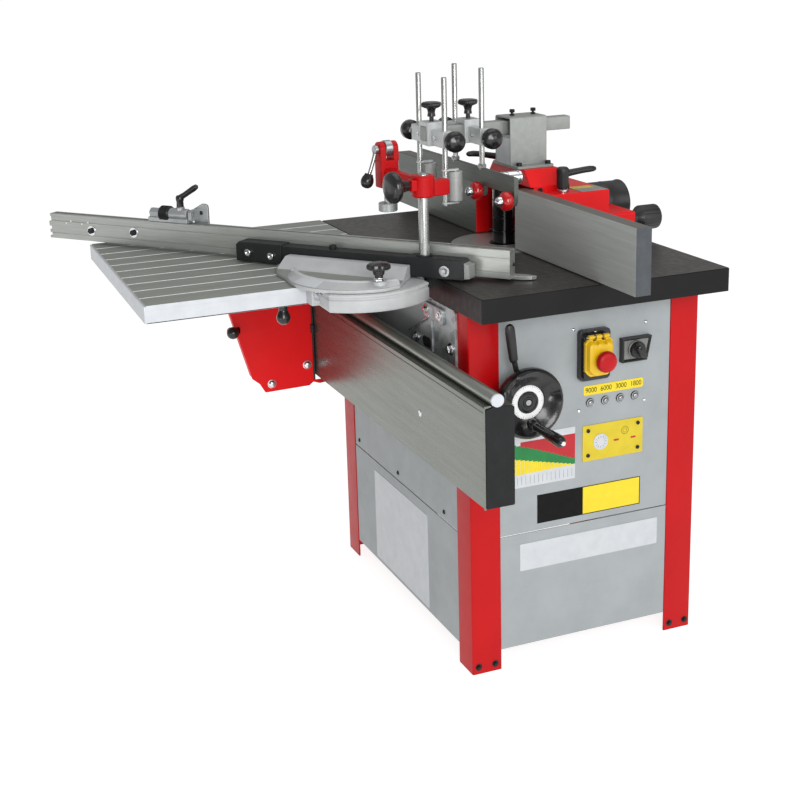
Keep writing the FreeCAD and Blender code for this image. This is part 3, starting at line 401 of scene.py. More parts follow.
    def make(s, name, body, *nodes, sharp=32.0, slot=None):
        me = bpy.data.meshes.new(name)
        me.from_pydata([((p.x + SX) / 1000.0, (p.y + SY) / 1000.0, p.z / 1000.0) for p in s.v], [], s.f)
        names = sorted(set(s.m))
        for k in names:
            me.materials.append(MAT[k])
        me.polygons.foreach_set("material_index", [names.index(k) for k in s.m])
        bm = bmesh.new()
        bm.from_mesh(me)
        bm.faces.ensure_lookup_table()
        bmesh.ops.recalc_face_normals(bm, faces=bm.faces)
        top = max(s.b) if s.b else 0.0
        if top > 0:
            lay = bm.edges.layers.float.new("bevel_weight_edge")
            for e in bm.edges:
                if len(e.link_faces) == 2:
                    w = min(s.b[e.link_faces[0].index], s.b[e.link_faces[1].index])
                    if w > 0 and e.calc_face_angle(0.0) > math.radians(30):
                        e[lay] = w / top
        bm.to_mesh(me)
        bm.free()
        me.polygons.foreach_set("use_smooth", [True] * len(me.polygons))
        me.set_sharp_from_angle(angle=math.radians(sharp))
        ob = bpy.data.objects.new(name, me)
        bpy.context.scene.collection.objects.link(ob)
        if top > 0:
            md = ob.modifiers.new("Bevel", "BEVEL")
            md.limit_method = "WEIGHT"
            md.width = top / 1000.0
            md.segments = 2
            md.harden_normals = True
            md.miter_outer = "MITER_ARC"
        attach(ob, body)
        if nodes:
            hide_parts(*nodes)
        return ob


def finish_node(name, mat, bevel=0.0, smooth=True):
    """A CAD node that stays: its finish, and softened edges where it is sheet or bar."""
    ob = NODE[name]
    ob.data.materials.clear()
    ob.data.materials.append(MAT[mat])
    if bevel:
        w = ob.modifiers.new("Weld", "WELD")
        w.merge_threshold = 0.00001
        md = ob.modifiers.new("Bevel", "BEVEL")
        md.limit_method = "ANGLE"
        md.angle_limit = math.radians(40)
        md.width = bevel / 1000.0
        md.segments = 2
        md.harden_normals = True


PIV = Matrix.Translation((-301.0, -142.0, 0.0)) @ Matrix.Rotation(math.radians(39.7), 4, "Z")
HXY = PIV @ Vector((131.0, 51.0, 0.0))
HOLD = Matrix.Translation((HXY.x, HXY.y, 0.0)) @ Matrix.Rotation(math.radians(186.8), 4, "Z")


# ---------------------------------------------------------------- cabinet
g = G()
for xo, sx in ((-845.0, 1), (-88.0, -1)):
    for yo, sy in ((10.0, 1), (560.0, -1)):
        w, t, r = 69.0, 4.0, 4.0
        pts = [(w, 0), (w, t)] + [(t + 1.5 - 1.5 * math.sin(math.radians(a)), t + 1.5 - 1.5 * math.cos(math.radians(a))) for a in (0, 30, 60, 90)] + [(t, w), (0, w)]
        pts += [(r - r * math.cos(math.radians(a)), r - r * math.sin(math.radians(a))) for a in (0, 22, 45, 68, 90)]
        g.prism([(xo + sx * a, yo + sy * c) for a, c in pts], "z", 0, 810, "red", 0.7)
for z0, z1 in ((62, 92), (780, 810)):
    for q in ((-841, -92, 14, 42), (-841, -92, 528, 556), (-841, -813, 42, 528), (-120, -92, 42, 528)):
        g.box(*q, z0, z1, "red", 1.0)
g.make("legs_and_rails", "machine", "cabinet_frame", slot="painted_red")
finish_node("cabinet_panels", "panel", 0.7)

g = G()
for y, z in ((254, 745), (429, 740), (268, 564), (430, 565)):
    g.pan((-90, y, z), (1, 0, 0), 4.2, 2.6, "chrome")
for x in (-747, -494, -230):
    g.pan((x, 12, 328), (0, -1, 0), 5.5, 3.2, "oxide")
for y in (24, 64, 506, 546):
    g.bolt((-88, y, 17), (1, 0, 0), 8, 4, "oxide")
    g.bolt((-845, y, 17), (-1, 0, 0), 8, 4, "oxide")
g.make("cabinet_screws", "machine", "panel_screws", slot="black_steel")

finish_node("table", "tablecast")
finish_node("table_rings", "ringcast")
for n, m in (("quill_guide", "cast"), ("spindle_quill", "steel"), ("motor", "motorpaint"), ("drive_belt", "rubber"), ("spindle_shaft", "steel"),
             ("motor_pulley", "alu"), ("lift_screw", "steel"), ("handwheel_shaft", "steel")):
    finish_node(n, m)

g = G()
for z, h in ((850, 40), (890, 30), (920, 40), (960, 25)):
    g.lathe([(15.2, 0), (23.6, 0), (25, 1.4), (25, h - 1.4), (23.6, h), (15.2, h)], (-468, 281, z), (0, 0, 1), "gloss", 64, ring=True)
g.make("spacing_ring_stack", "spindle", "spacer_rings", slot="black_steel")

# ---------------------------------------------------------------- control panel
g = G()
X = -90.0
g.prism(rrect(279, 425, 596, 617, 4), "x", X, X + 0.7, "labyellow", 0)
for k, wd in enumerate(("9000", "6000", "3000", "1800")):
    g.text(wd, 15.5, (X + 0.66, 297 + 36.7 * k, 606.3), (0, 1, 0), (0, 0, 1), "ink", 0.1, 0.9)
g.prism(rrect(277, 426, 447, 528, 3), "x", X, X + 1.6, "plateyellow", 0.4)
for y, z in ((290, 516), (413, 516), (413, 460), (290, 460)):
    g.socket((X + 1.6, y, z), (1, 0, 0), 4.2, 2.4, "oxide")
g.lathe([(0, 0), (18, 0), (18, 1.0), (17, 1.5), (15.2, 1.5), (15.0, 1.1), (0, 1.1)], (X + 1.6, 321, 487), (1, 0, 0), "white", 48)
for k in range(12):
    a = math.radians(30 * k)
    c, q = math.cos(a), math.sin(a)
    g.add([(X + 2.75, 321 + r * c - w * q, 487 + r * q + w * c) for r, w in ((9.5, -0.4), (13.5, -0.4), (13.5, 0.4), (9.5, 0.4))] +
          [(X + 2.65, 321 + r * c - w * q, 487 + r * q + w * c) for r, w in ((9.5, -0.4), (13.5, -0.4), (13.5, 0.4), (9.5, 0.4))],
          [(0, 1, 2, 3), (7, 6, 5, 4), (0, 4, 5, 1), (1, 5, 6, 2), (2, 6, 7, 3), (3, 7, 4, 0)], "ink")
for y in (360, 402):
    g.box(X + 1.6, X + 2.0, y - 6, y + 6, 483, 487, "chartred", 0)
g.tube((X + 1.6, 381, 504), (1, 0, 0), 9.0, 8.2, 0.15, "ink", 40, 0.02)
g.tube((X + 1.6, 381, 504), (1, 0, 0), 5.0, 4.4, 0.15, "ink", 32, 0.02)
# feed chart: plain stepped bands, no lettering
cy0, cy1, cz0, cz1 = 108.0, 259.0, 414.0, 531.0
g.box(X, X + 0.6, cy0, cy1, cz0, cz1, "white", 0)
nb = 15
wb = (cy1 - cy0) / nb
for k in range(nb):
    f = (k + 0.5) / nb
    a, c = cy0 + k * wb, cy0 + (k + 1) * wb
    gt = 512.5 - 54.5 * f ** 1.15
    gb = 481.0 - 35.0 * f
    yb = 443.0 + 3.0 * f
    if gb - yb > 1.0:
        g.box(X + 0.6, X + 0.72, a + 0.3, c - 0.3, yb, gb, "chartyellow", 0)
    g.box(X + 0.6, X + 0.74, a, c, gb, gt, "chartgreen", 0)
    if a > 128:
        g.box(X + 0.6, X + 0.70, a, c, gt, 516.0, "chartred", 0)
    g.box(X + 0.6, X + 0.66, a + 2.2, a + 3.0, 420.0, 438.0, "switchgrey", 0)
g.box(X, X + 0.6, 168, 279, 325, 390, "ink", 0)
g.box(X, X + 0.6, 279, 422, 325, 390, "labyellow", 0)
for z in (325.0, 388.2):
    g.box(X + 0.6, X + 0.7, 168, 422, z, z + 1.8, "ink", 0)
g.box(X + 0.6, X + 0.7, 420.2, 422, 325, 390, "ink", 0)
g.prism(rrect(126, 468, 222, 284, 2), "x", X + 0.5, X + 1.1, "white", 0)
g.prism(rrect(-647, -322, 54, 284, 3), "y", 10.9, 11.5, "white", 0)
g.make("panel_plates", "machine", "label_plates", slot="plate_white")

g = G()
for y in (295, 331.7, 368.4, 405):
    g.lathe([(0, 0), (10, 0), (10, 1.8), (9.2, 3.2), (7.6, 3.6), (7.0, 3.0), (6.6, 4.2), (5.4, 5.9), (3.4, 7.0), (0, 7.5)], (X, y, 579), (1, 0, 0),
            ["oxide"] * 3 + ["steel"] * 2 + ["lens"] * 4, 36)
g.make("lamp_set", "machine", "indicator_lamps", slot="bright_bar")

g = G()
# switch base with a raised rim and a screw
outer = rrect(262, 335, 633, 744, 9)
g.prism(outer, "x", X, X + 15, "plasg", 1.6)
inn = rrect(267, 330, 638, 733, 7)
g.prism(inn, "x", X + 14.5, X + 22, "plasg", 0.8)
g.pan((X + 15, 298, 738.5), (1, 0, 0), 3.0, 1.6, "steel")
# rotary switch: bevelled black frame, grey face, bearing disc
for k, (a, c, h0, h1) in enumerate(((0, 0, 0, 12),)):
    fr = [(365, 660), (426, 660), (437, 713), (365, 713)]
    ins = [(371, 666), (421.5, 666), (430, 707), (371, 707)]
    n = len(fr)
    v = [(X, p[0], p[1]) for p in fr] + [(X + 14, p[0], p[1]) for p in fr] + [(X + 14.5, p[0], p[1]) for p in ((367, 662), (424.4, 662), (434.6, 711), (367, 711))] + \
        [(X + 11, p[0], p[1]) for p in ins]
    f = [tuple(range(n))[::-1]]
    for r in range(3):
        f += [(r * n + i, r * n + (i + 1) % n, (r + 1) * n + (i + 1) % n, (r + 1) * n + i) for i in range(n)]
    f.append(tuple(range(3 * n, 4 * n)))
    g.add(v, f, ["plas"] * (len(f) - 1) + ["switchgrey"])
g.lathe([(0, 0), (19.6, 0), (19.6, 4.6), (18.4, 5.6), (0, 5.6)], (X + 11, 399, 687), (1, 0, 0), "switchgrey", 48)
g.make("switch_housings", "machine", "switch_bases", slot="black_plastic")

g = G()
b0 = X + 23


def lid_outline(y0, y1, z0, z1, bump):
    w = (y1 - y0) / 3.0
    out = [(y0 + 6, z0), (y0 + 12, z0 - 5 * bump), (y1 - 12, z0 - 5 * bump), (y1 - 6, z0), (y1, z0 + 7)]
    out.append((y1, z1 - 6))
    for k in (2, 1, 0):
        c = y0 + w * (k + 0.5)
        out += [(c + w * 0.5 - w * 0.14, z1 - 4.0 * bump), (c + w * 0.26, z1), (c - w * 0.26, z1), (c - w * 0.5 + w * 0.14, z1 - 4.0 * bump)]
    out += [(y0, z1 - 6), (y0, z0 + 7)]
    return out


r0 = [(b0, p[0], p[1]) for p in lid_outline(266, 331, 652, 727, 1)]
r1 = [(b0 + 7, p[0], p[1]) for p in lid_outline(266, 331, 652, 727, 1)]
r2 = [(b0 + 7.6, p[0], p[1]) for p in lid_outline(268, 329.4, 655, 725, 1)]
r3 = [(b0 + 17, p[0], p[1]) for p in lid_outline(271, 326, 657, 720, 0.7)]
r4 = [(b0 + 19.4, p[0], p[1]) for p in lid_outline(274, 323, 660, 716, 0.6)]
r5 = [(b0 + 20, p[0], p[1]) for p in lid_outline(277, 320, 663, 712, 0.5)]
g.loft([r0, r1, r2, r3, r4, r5], "yellow")
for y in (274, 292, 310):
    g.tube((b0 + 4, y, 731.6), (0, 1, 0), 5, 2.2, 13, "yellow", 24, 0.6)
g.cyl((b0 + 4, 270, 731.6), (0, 1, 0), 2.1, 57, "steel", 16)
g.prism(rrect(288, 316, 647, 656, 3), "x", b0 + 1, b0 + 9, "yellow", 1.0)
for z in (668, 676, 698, 706):
    g.box(b0 + 8, b0 + 14.5, 270.6, 273.2, z - 1.6, z + 1.6, "yellow", 0.4)
g.make("switch_flap", "lid", "switch_lid", slot="yellow_plastic")
g = G()
g.lathe([(0, -11), (10, -11), (10, 4.9), (11.5, 6.0), (20.5, 7.2), (22.4, 8.6), (23, 11), (22.6, 15), (21.2, 18.4), (18.6, 20.4), (13, 22.0), (7, 22.9), (0, 23.3)],
        (b0 + 20, 302, 683), (1, 0, 0), "redplas", 56)
g.make("stop_button_cap", "mushroom", "stop_mushroom", slot="red_plastic")
g = G()
g.lathe([(0, 0), (11, 0), (11, 8.2), (10.2, 9.6), (8.8, 10.4), (5, 10.0), (0, 9.8)], (X + 9, 302, 706), (1, 0, 0), "greenplas", 40)
g.make("start_button_cap", "start", "start_button", slot="green_plastic")
g = G()
g.lathe([(0, 17.3), (18, 17.3), (18, 22), (16.6, 24.3), (0, 24.3)], (X, 399, 687), (1, 0, 0), "plas", 48)
a = math.radians(38)
g.M = Matrix.Translation((0, 399, 687)) @ Matrix.Rotation(a, 4, "X")
g.loft([[(X + h, p[0], p[1]) for p in rrect(-w, w, -l, l, w * 0.8)] for h, w, l in ((23.5, 7, 18), (30, 6.6, 17.8), (39, 5.6, 17.0), (41.4, 4.6, 16.0), (42, 3.2, 14.0))], "plasg")
g.box(X + 41.2, X + 42, -0.8, 0.8, 7, 15.5, "white", 0)
g.make("rotary_pointer", "rotary", "rotary_knob", slot="black_plastic")

# ---------------------------------------------------------------- handwheel
WY, WZ, WX = 119.0, 622.0, -42.0
g = G()


def pocket(i, r, h, t):
    k = max(0.0, math.cos(3.0 * (t - 0.25))) ** 3
    if i in (15, 16, 17):
        return r, h - 7.0 * k
    if i in (14, 18):
        return r, h - 2.0 * k
    return r, h


g.lathe([(8.2, -6), (22, -6), (26, -4), (44, -4), (57, 2), (60, 0), (64, -2.4), (68, -3), (72, -0.5), (74.4, 4), (75, 9), (75, 16), (74, 20.5), (71.5, 24), (68, 25.8),
         (63.5, 24.6), (57.5, 20), (51, 15), (44, 10), (38.5, 7.2), (37, 6.4), (36.6, 4.0), (23.4, 4.0), (23.4, 7.0), (22.2, 8.6), (18, 9.4), (16.8, 8.2), (12.6, 8.2), (11.6, 9.6), (8.2, 9.8)],
        (WX, WY, WZ), (1, 0, 0), "plasg", 96, ring=True, mod=pocket)
g.lathe([(8.3, 8.0), (8.3, 9.0), (6.0, 9.0), (5.4, 6.5), (0, 6.2)], (WX, WY, WZ), (1, 0, 0), "oxide", 32)
g.tube((WX + 3.8, WY, WZ), (1, 0, 0), 36.4, 23.6, 1.7, "cream", 72, 0.3)
for k in range(50):
    t = 2 * math.pi * k / 50
    L = 5.5 if k % 5 == 0 else 3.2
    c, q = math.cos(t), math.sin(t)
    w = 0.28
    P = [(WX + h, WY + r * c - e * q, WZ + r * q + e * c) for h in (5.4, 5.62) for r, e in ((36.0 - L, -w), (36.0, -w), (36.0, w), (36.0 - L, w))]
    g.add(P, [(3, 2, 1, 0), (4, 5, 6, 7), (0, 1, 5, 4), (1, 2, 6, 5), (2, 3, 7, 6), (3, 0, 4, 7)], "ink")
CY, CZ = 127.0, 575.0
g.lathe([(0, 6), (13, 8), (13.5, 16), (12, 24), (10.5, 27.4), (9, 28), (5, 28), (5, 141), (4.4, 142), (0, 142)], (WX, CY, CZ), (1, 0, 0), ["plasg"] * 5 + ["chrome"] * 4, 40)
g.make("handwheel_dish", "wheel", "handwheel", slot="black_plastic")
g = G()
g.lathe([(5.1, 30), (9.6, 30), (10, 31), (9.2, 36), (9.0, 44), (9.8, 60), (11.6, 88), (12.5, 112), (12.3, 124), (11.0, 132), (8.6, 136.4), (6.4, 138), (5.1, 138)], (WX, CY, CZ), (1, 0, 0),
        "plasg", 40, ring=True)
g.make("crank_grip", "crank", "crank_handle", slot="black_plastic")
g = G()
g.tube((-84, WY, WZ), (1, 0, 0), 24, 8.4, 34, "gloss", 56, 2.0)
g.tube((-80, WY, WZ), (1, 0, 0), 24.6, 23.5, 5, "chrome", 56, 0.4)
st = [(-58, 115, 640), (-55, 108, 664), (-51, 100, 690), (-48.6, 94, 712)]
g.sweep(st, [(7.0, 5.0), (6.2, 4.6), (5.8, 4.4), (6.0, 4.6)], "plas", 20, flat=(0, 1, 0.25))
gr = [(-48.8, 94.5, 708), (-48.5, 93.6, 711), (-48.2, 92.5, 715), (-47, 89.5, 734), (-45.6, 86, 756), (-44.6, 83.4, 774), (-44.2, 82.2, 783), (-44, 81.4, 788.5), (-43.9, 81.1, 791)]
g.sweep(gr, [(5, 4), (8.4, 6.0), (9.4, 6.8), (9.9, 7.2), (10.6, 7.6), (10.8, 7.8), (9.6, 7.0), (6.6, 5.2), (1.5, 1.2)], "plas", 24, flat=(0, 1, 0.25))
g.make("lock_lever_grip", "height_lock", "height_lock_lever", slot="black_plastic")

# ---------------------------------------------------------------- beam
g = G()
prof = [(-75, 496.6), (-74.2, 496), (-70.8, 496), (-70, 496.6), (-70, 514)]
prof += [(-66.7, 514)] + [(-56 + 11.6 * math.cos(math.radians(a)), 509.5 + 11.6 * math.sin(math.radians(a))) for a in (157, 135, 112, 90, 68, 45, 23)] + [(-45.3, 514)]
prof += [(-16, 514), (-15, 515), (-15, 697), (-16, 698), (-40.7, 698)]
prof += [(-48 + 13.6 * math.cos(math.radians(a)), 709.5 + 13.6 * math.sin(math.radians(a))) for a in (-58, -74, -90, -106, -122)]
prof += [(-55.3, 698), (-74, 698), (-75, 697), (-75, 690), (-73.8, 689.2), (-73.8, 687.2), (-75, 686.4)]
g.prism(prof, "x", -1040, 160, "beamface", 0)
g.pan((-145.7, -75, 596), (0, -1, 0), 7.5, 2.0, "chrome")
g.make("beam_profile", "machine", "slide_beam", slot="galvanised")
g = G()
for y, z, r in ((-48, 709.5, 13.5), (-56, 509.5, 11.5)):
    g.cyl((-1040, y, z), (1, 0, 0), r, 1200, "guidebar", 40, 1.0)
g.make("guide_bars", "machine", "beam_bars", slot="bright_bar")
g = G()
for x0, x1, s in ((160.0, 166.0, 1), (-1046.0, -1040.0, -1)):
    out = [(-72, 497), (-16, 497), (-14, 499), (-14, 694), (-16, 696), (-38, 698)] + \
          [(-48 + 12.4 * math.cos(math.radians(a)), 709.5 + 12.4 * math.sin(math.radians(a))) for a in (-40, -65, -90, -115, -140)] + [(-60, 698), (-72, 696), (-74, 694), (-74, 499)]
    g.prism(out, "x", x0, x1, "capblack", 1.0)
    # bright edge of the profile round the cap, and the end of the guide bar
    g.prism([(-77, 495), (-74.4, 495), (-74.4, 697), (-62, 699.5), (-62, 702), (-75, 702), (-77, 699)], "x", x0 if s > 0 else x1 - 4.5, x0 + 4.5 if s > 0 else x1, "beamface", 0.6)
    c = (x0, -48, 709.5) if s > 0 else (x1, -48, 709.5)
    g.lathe([(0, 0), (13.4, 0), (13.4, 3.4), (12.2, 4.6), (0, 4.9)], c, (s, 0, 0), "endwhite", 40)
    g.lathe([(0, 0), (11.0, 0), (11.0, 1.0), (10.2, 1.6), (0, 1.8)], ((x1 - 2) if s > 0 else (x0 + 2), -56, 508.5), (s, 0, 0), "endwhite", 40)
g.make("beam_caps", "machine", "beam_end_caps", slot="black_plastic")
g = G()
for x in (-258.0, -813.0):
    x1 = x + 120
    out = [(x + 4, 540), (x1 - 4, 540), (x1, 544), (x1, 800), (x1 - 6, 806), (x + 6, 806), (x, 800), (x, 544)]
    g.prism(out, "y", 4, 10, "galv", 0.8)
    g.box(x + 20, x + 95, -15, 4, 560, 660, "galv", 1.0)
    # sloping gusset with a rounded slot drawn as a black sheet, painted shade standing in for the hole, and the strap
    # across its head
    g.prism([(x - 105, 709), (x - 100, 694), (x - 82, 690), (x + 9, 690), (x + 9, 769)], "y", 0.5, 6, "galv", 0.8)
    g.prism([(x - 105, 709), (x + 9, 769), (x + 9, 773), (x - 105, 713)], "y", -6, 6, "chrome", 0.8)
    g.prism(rrect(x - 39, x + 4, 695, 718, 10), "y", -0.1, 0.6, "void", 0)
    g.prism(rrect(x - 26, x + 72, 764, 797, 6), "y", -3, 4.2, "galv", 0.8)
    for bx, bz in ((x - 12, 782), (x + 57, 782)):
        g.bolt((bx, -3, bz), (0, -1, 0), 11, 5, "chrome")
    g.bolt((x - 75, 0.5, 703), (0, -1, 0), 14, 7, "chrome")
    g.bolt((x + 100, 4, 720), (0, -1, 0), 14, 8, "chrome")
g.make("beam_mounts", "machine", "beam_brackets", slot="galvanised")

# ---------------------------------------------------------------- sliding table and carriage
g = G()
def edge_y(x):
    return -604.0 + 20.0 * (-275.0 - x) / 663.0


# each plank's chamfer takes the lighter edge finish: painted highlight
for i in range(10):
    x0, x1 = -938.0 + 66.3 * i, -938.0 + 66.3 * (i + 1)
    e1 = 0.5 if i < 9 else 0.0
    sec = [(x0 + 0.5, 851), (x1 - e1, 851), (x1 - e1, 857.6 if i < 9 else 859.4), (x1 - (3.6 if i < 9 else 0.7), 860), (x0 + 1.2, 860), (x0 + 0.5, 859.3)]
    end = "plank" if i < 9 else "endwhite"
    g.loft([[(x, edge_y(x) + 4.5, z) for x, z in sec], [(x, -3.0, z) for x, z in sec]],
           ["endwhite", "plank", "plank", end, "plankedge", "plank", "plank", "plank"])
    g.box(x0 + (5 if i == 0 else -4), x0 + (9 if i == 0 else 4), edge_y(x0) + 6, -5, 824, 851, "plank", 0.6)
g.loft([[(x, edge_y(x), 823), (x, edge_y(x) + 5, 823), (x, edge_y(x) + 5, 858.4), (x, edge_y(x), 858.4)] for x in (-938.0, -275.0)], "endwhite", 1.0)
g.box(-938, -275, -8, -3, 823, 851, "plank", 0.8)
g.box(-938, -933, -582, -8, 823, 851, "plank", 0.8)
g.box(-280, -275, -600, -8, 823, 851.2, "endwhite", 0.8)
g.box(-284, -275, -600, -8, 823, 826, "endwhite", 0.8)
g.box(-934, -279, -580, -8, 848, 851.4, "plank", 0)
g.lathe([(6.1, 0), (20, 0), (22, 2), (22, 14), (6.1, 14)], (-345, -296.6, 811), (0, 0, 1), "plank", 40, ring=True)
g.box(-368, -320, -318, -275, 824, 851, "plank", 1.0)
g.make("plank_table", "carriage", "sliding_table", slot="alu")
g = G()
P = [(-327, 823), (-287, 680), (-239, 507), (-220.5, 491.5), (-207, 468), (-92, 470), (-82, 478), (-65, 472), (-42, 474), (-42, 482), (-77.5, 482), (-77.5, 740), (-12, 740), (-12, 823)]
# the cheeks take the brighter red copy: painted light
g.prism(P, "x", -816, -810, "redcar", 1.2)
Q = [(y + (45 if y < -150 else 0), z) for y, z in P]
g.prism(Q, "x", -905, -899, "redcar", 1.2)
g.box(-900, -815, -327, -12, 815, 823, "redcar", 1.0)
g.box(-900, -815, -85.5, -77.5, 482, 823, "redcar", 1.0)
g.box(-905, -590, -72, -24, 728, 823, "redcar", 2.0)
g.tube((-816, -286.4, 636), (1, 0, 0), 8.6, 6.1, 6, "redcar", 32, 0.4)
g.box(-816, -810, -278, -262, 627, 645, "redcar", 1.0)
# narrow folded flange along the slanting edge
e0, e1 = Vector((0, -324.8, 815)), Vector((0, -240.5, 512))
dn = Vector((0, (e1 - e0).z, -(e1 - e0).y)).normalized()
q = [(e0.y, e0.z), (e1.y, e1.z), (e1.y - 3.5 * dn.y, e1.z - 3.5 * dn.z), (e0.y - 3.5 * dn.y, e0.z - 3.5 * dn.z)]
g.loft([[(x, a, c) for a, c in q] for x in (-829, -815)], "redcar", 0.6)
for y, z in ((-96.7, 525), (-190.4, 488.7)):
    g.lathe([(0, 0), (11, 0), (11, 1.6), (9.5, 1.8), (9.0, 4.0), (6.5, 6.8), (3.2, 8.0), (0, 8.3)], (-810, y, z), (1, 0, 0), "chrome", 32)
g.box(-812, -805, -81, -77.6, 484, 812, "rubber", 0.8)
g.box(-812, -800, -84, -78, 606, 628, "rubber", 1.5)
g.make("carriage_cheeks", "carriage", "carriage_bracket", slot="painted_red")

g = G()
# quarter-round casting at the end of the sliding table
pts = [(-275, -250)]
a0 = math.degrees(math.asin(-108 / 159.0))
a1 = math.degrees(math.asin(112 / 159.0))
pts += arc(-301, -142, 159, a0, a1, 36)
pts += [(-275, -30)]


def inset(d):
    out = []
    for x, y in pts:
        r = math.hypot(x + 301, y + 142)
        if r > 158:
            out.append((-301 + (x + 301) * (159 - d) / 159, -142 + (y + 142) * (159 - d) / 159))
        else:
            out.append((x, y + (d if y < -142 else -d)))
    return out


g.loft([[(x, y, 823) for x, y in inset(3)], [(x, y, 825) for x, y in inset(1)], [(x, y, 828) for x, y in inset(0)], [(x, y, 848) for x, y in inset(0)],
        [(x, y, 850.5) for x, y in inset(2.2)], [(x, y, 853) for x, y in inset(2.2)], [(x, y, 855.5) for x, y in inset(0.2)], [(x, y, 858.6) for x, y in inset(0.2)],
        [(x, y, 859.6) for x, y in inset(0.9)], [(x, y, 860) for x, y in inset(2)]], "cast")
# arc slot floor drawn as a black band, painted shade standing in for the slot's depth, and the white scale band
s0, s1 = -46.0, 48.0


def band(r0, r1, z0, z1, m, a, c, k=40):
    P0 = [(-301 + r * math.cos(math.radians(a + (c - a) * i / k)), -142 + r * math.sin(math.radians(a + (c - a) * i / k))) for r in (r1,) for i in range(k + 1)]
    P1 = [(-301 + r0 * math.cos(math.radians(a + (c - a) * i / k)), -142 + r0 * math.sin(math.radians(a + (c - a) * i / k))) for i in range(k, -1, -1)]
    g.prism(P0 + P1, "z", z0, z1, m, 0)


band(118, 134, 859.6, 860.15, "void", -44, 18)
band(151, 157, 859.6, 860.3, "scale", -42, 44)
for k in range(41):
    a = -40 + 2 * k
    L = 4.6 if k % 5 == 0 else 2.6
    c, q = math.cos(math.radians(a)), math.sin(math.radians(a))
    P4 = [(-301 + r * c - e * q, -142 + r * q + e * c, h) for h in (860.25, 860.42) for r, e in ((156.6 - L, -0.3), (156.6, -0.3), (156.6, 0.3), (156.6 - L, 0.3))]
    g.add(P4, [(3, 2, 1, 0), (4, 5, 6, 7), (0, 1, 5, 4), (1, 2, 6, 5), (2, 3, 7, 6), (3, 0, 4, 7)], "ink")
g.prism([(-275, -267), (-243, -267), (-241, -265), (-241, -246), (-200, -246), (-200, -236), (-275, -236)], "z", 826, 857, "cast", 2.0)
g.bolt((-241, -254, 847), (1, 0, 0), 11, 6, "chrome")
g.make("quadrant", "carriage", "quadrant_casting", slot="cast_grey")

g = G()
pr = [(0, -15)] + [(15 * math.sin(math.pi * i / 14), -15 * math.cos(math.pi * i / 14)) for i in range(1, 10)] + [(12.0, 10.5), (9.6, 15.0), (9.0, 18.0), (10.4, 26.0), (10.8, 28.6), (6, 29.0)]
pr += [(6, 38.5), (0, 39.0)]
g.lathe(pr, (-345, -296.6, 781.5), (0, 0, 1), ["plasg"] * 14 + ["steel"] * 3, 36)
g.make("carriage_lock_ball", "carriage_lock", "carriage_lock_knob", slot="black_plastic")
g = G()
pr = [(0, -15)] + [(15 * math.sin(math.pi * i / 14), -15 * math.cos(math.pi * i / 14)) for i in range(1, 11)] + [(9.4, 10.6), (9.0, 11.6), (9.0, 17.5), (6, 17.7), (6, 25.6), (0, 26.0)]
g.lathe(pr, (-792, -286.4, 636), (-1, 0, 0), ["plasg"] * 12 + ["steel"] * 6, 36)
g.make("table_lock_ball", "table_lock", "table_lock_knob", slot="black_plastic")

# ---------------------------------------------------------------- mitre
g = G(PIV)
outl = [(-208, 31.8), (-205, 4), (-169, -53)] + arc(0, 0, 150, -143, -38, 40) + [(131, -60), (124, -42), (107, 31.8)]
# painted shade: the top of the sunk floor takes the darker plank finish instead of the cast grey
g.prism(outl, "z", 860.6, 868.6, ["cast", "plank"] + ["cast"] * len(outl), 2.0)
rings = []
for k in range(61):
    t = math.radians(-160 + 136.0 * k / 60)
    c, q = math.cos(t), math.sin(t)
    rc = 40 * q + math.sqrt(1600 * q * q + 20900)
    ro = 148.5 if k < 55 else 148.5 - 6.0 * (k - 54) / 6
    rings.append([(r * c, r * q, z) for r, z in ((ro - 1, 864), (ro, 867), (ro - 1.4, 869.4), (rc + 9, 877.4), (rc + 5, 879.4), (rc + 2.2, 880), (rc + 0.4, 879.2), (rc - 1.6, 868.4), (rc - 1.6, 864))])
# painted highlights: the crest strip takes the lighter edge finish, and one band of the outer slope the bright finish
mm = ["cast", "cast"]
for k in range(60):
    t = -160 + 136.0 * k / 60
    mm += ["cast", "cast", "endwhite" if -128 < t < -97 else "cast", "plankedge", "plankedge", "plankedge", "cast", "cast", "cast"]
g.loft(rings, mm)
# upright wall behind the sunk floor, its front leaning down to the floor
def wall_end(side):
    out = []
    for v, z in ((-24, 862), (-24, 868.9), (8.6, 887.6), (12, 889), (30.4, 889), (31.8, 887.6), (31.8, 862)):
        lx_ = -187.0
        rx_ = 107 + (31.8 - v) * 0.23
        out.append((lx_ + 0.6 if side < 0 else rx_ - 0.6, v, z))
    return out


g.loft([wall_end(-1), wall_end(1)], "cast", 1.2)
g.lathe([(0, 0), (4, 0), (4, 8), (2.6, 10), (0, 10.4)], (-127, -54, 868.4), (0, 0, 1), "endwhite", 24)
tk = math.radians(-41)
ku, kv = 126 * math.cos(tk), 126 * math.sin(tk)
g.lathe([(0, 0), (17, 0), (17, 12), (15.6, 18.6), (14, 19.4), (0, 19.4)], (ku, kv, 860.6), (0, 0, 1), "cast", 40)
g.make("swivel_sector", "mitre", "swivel_casting", slot="cast_grey")

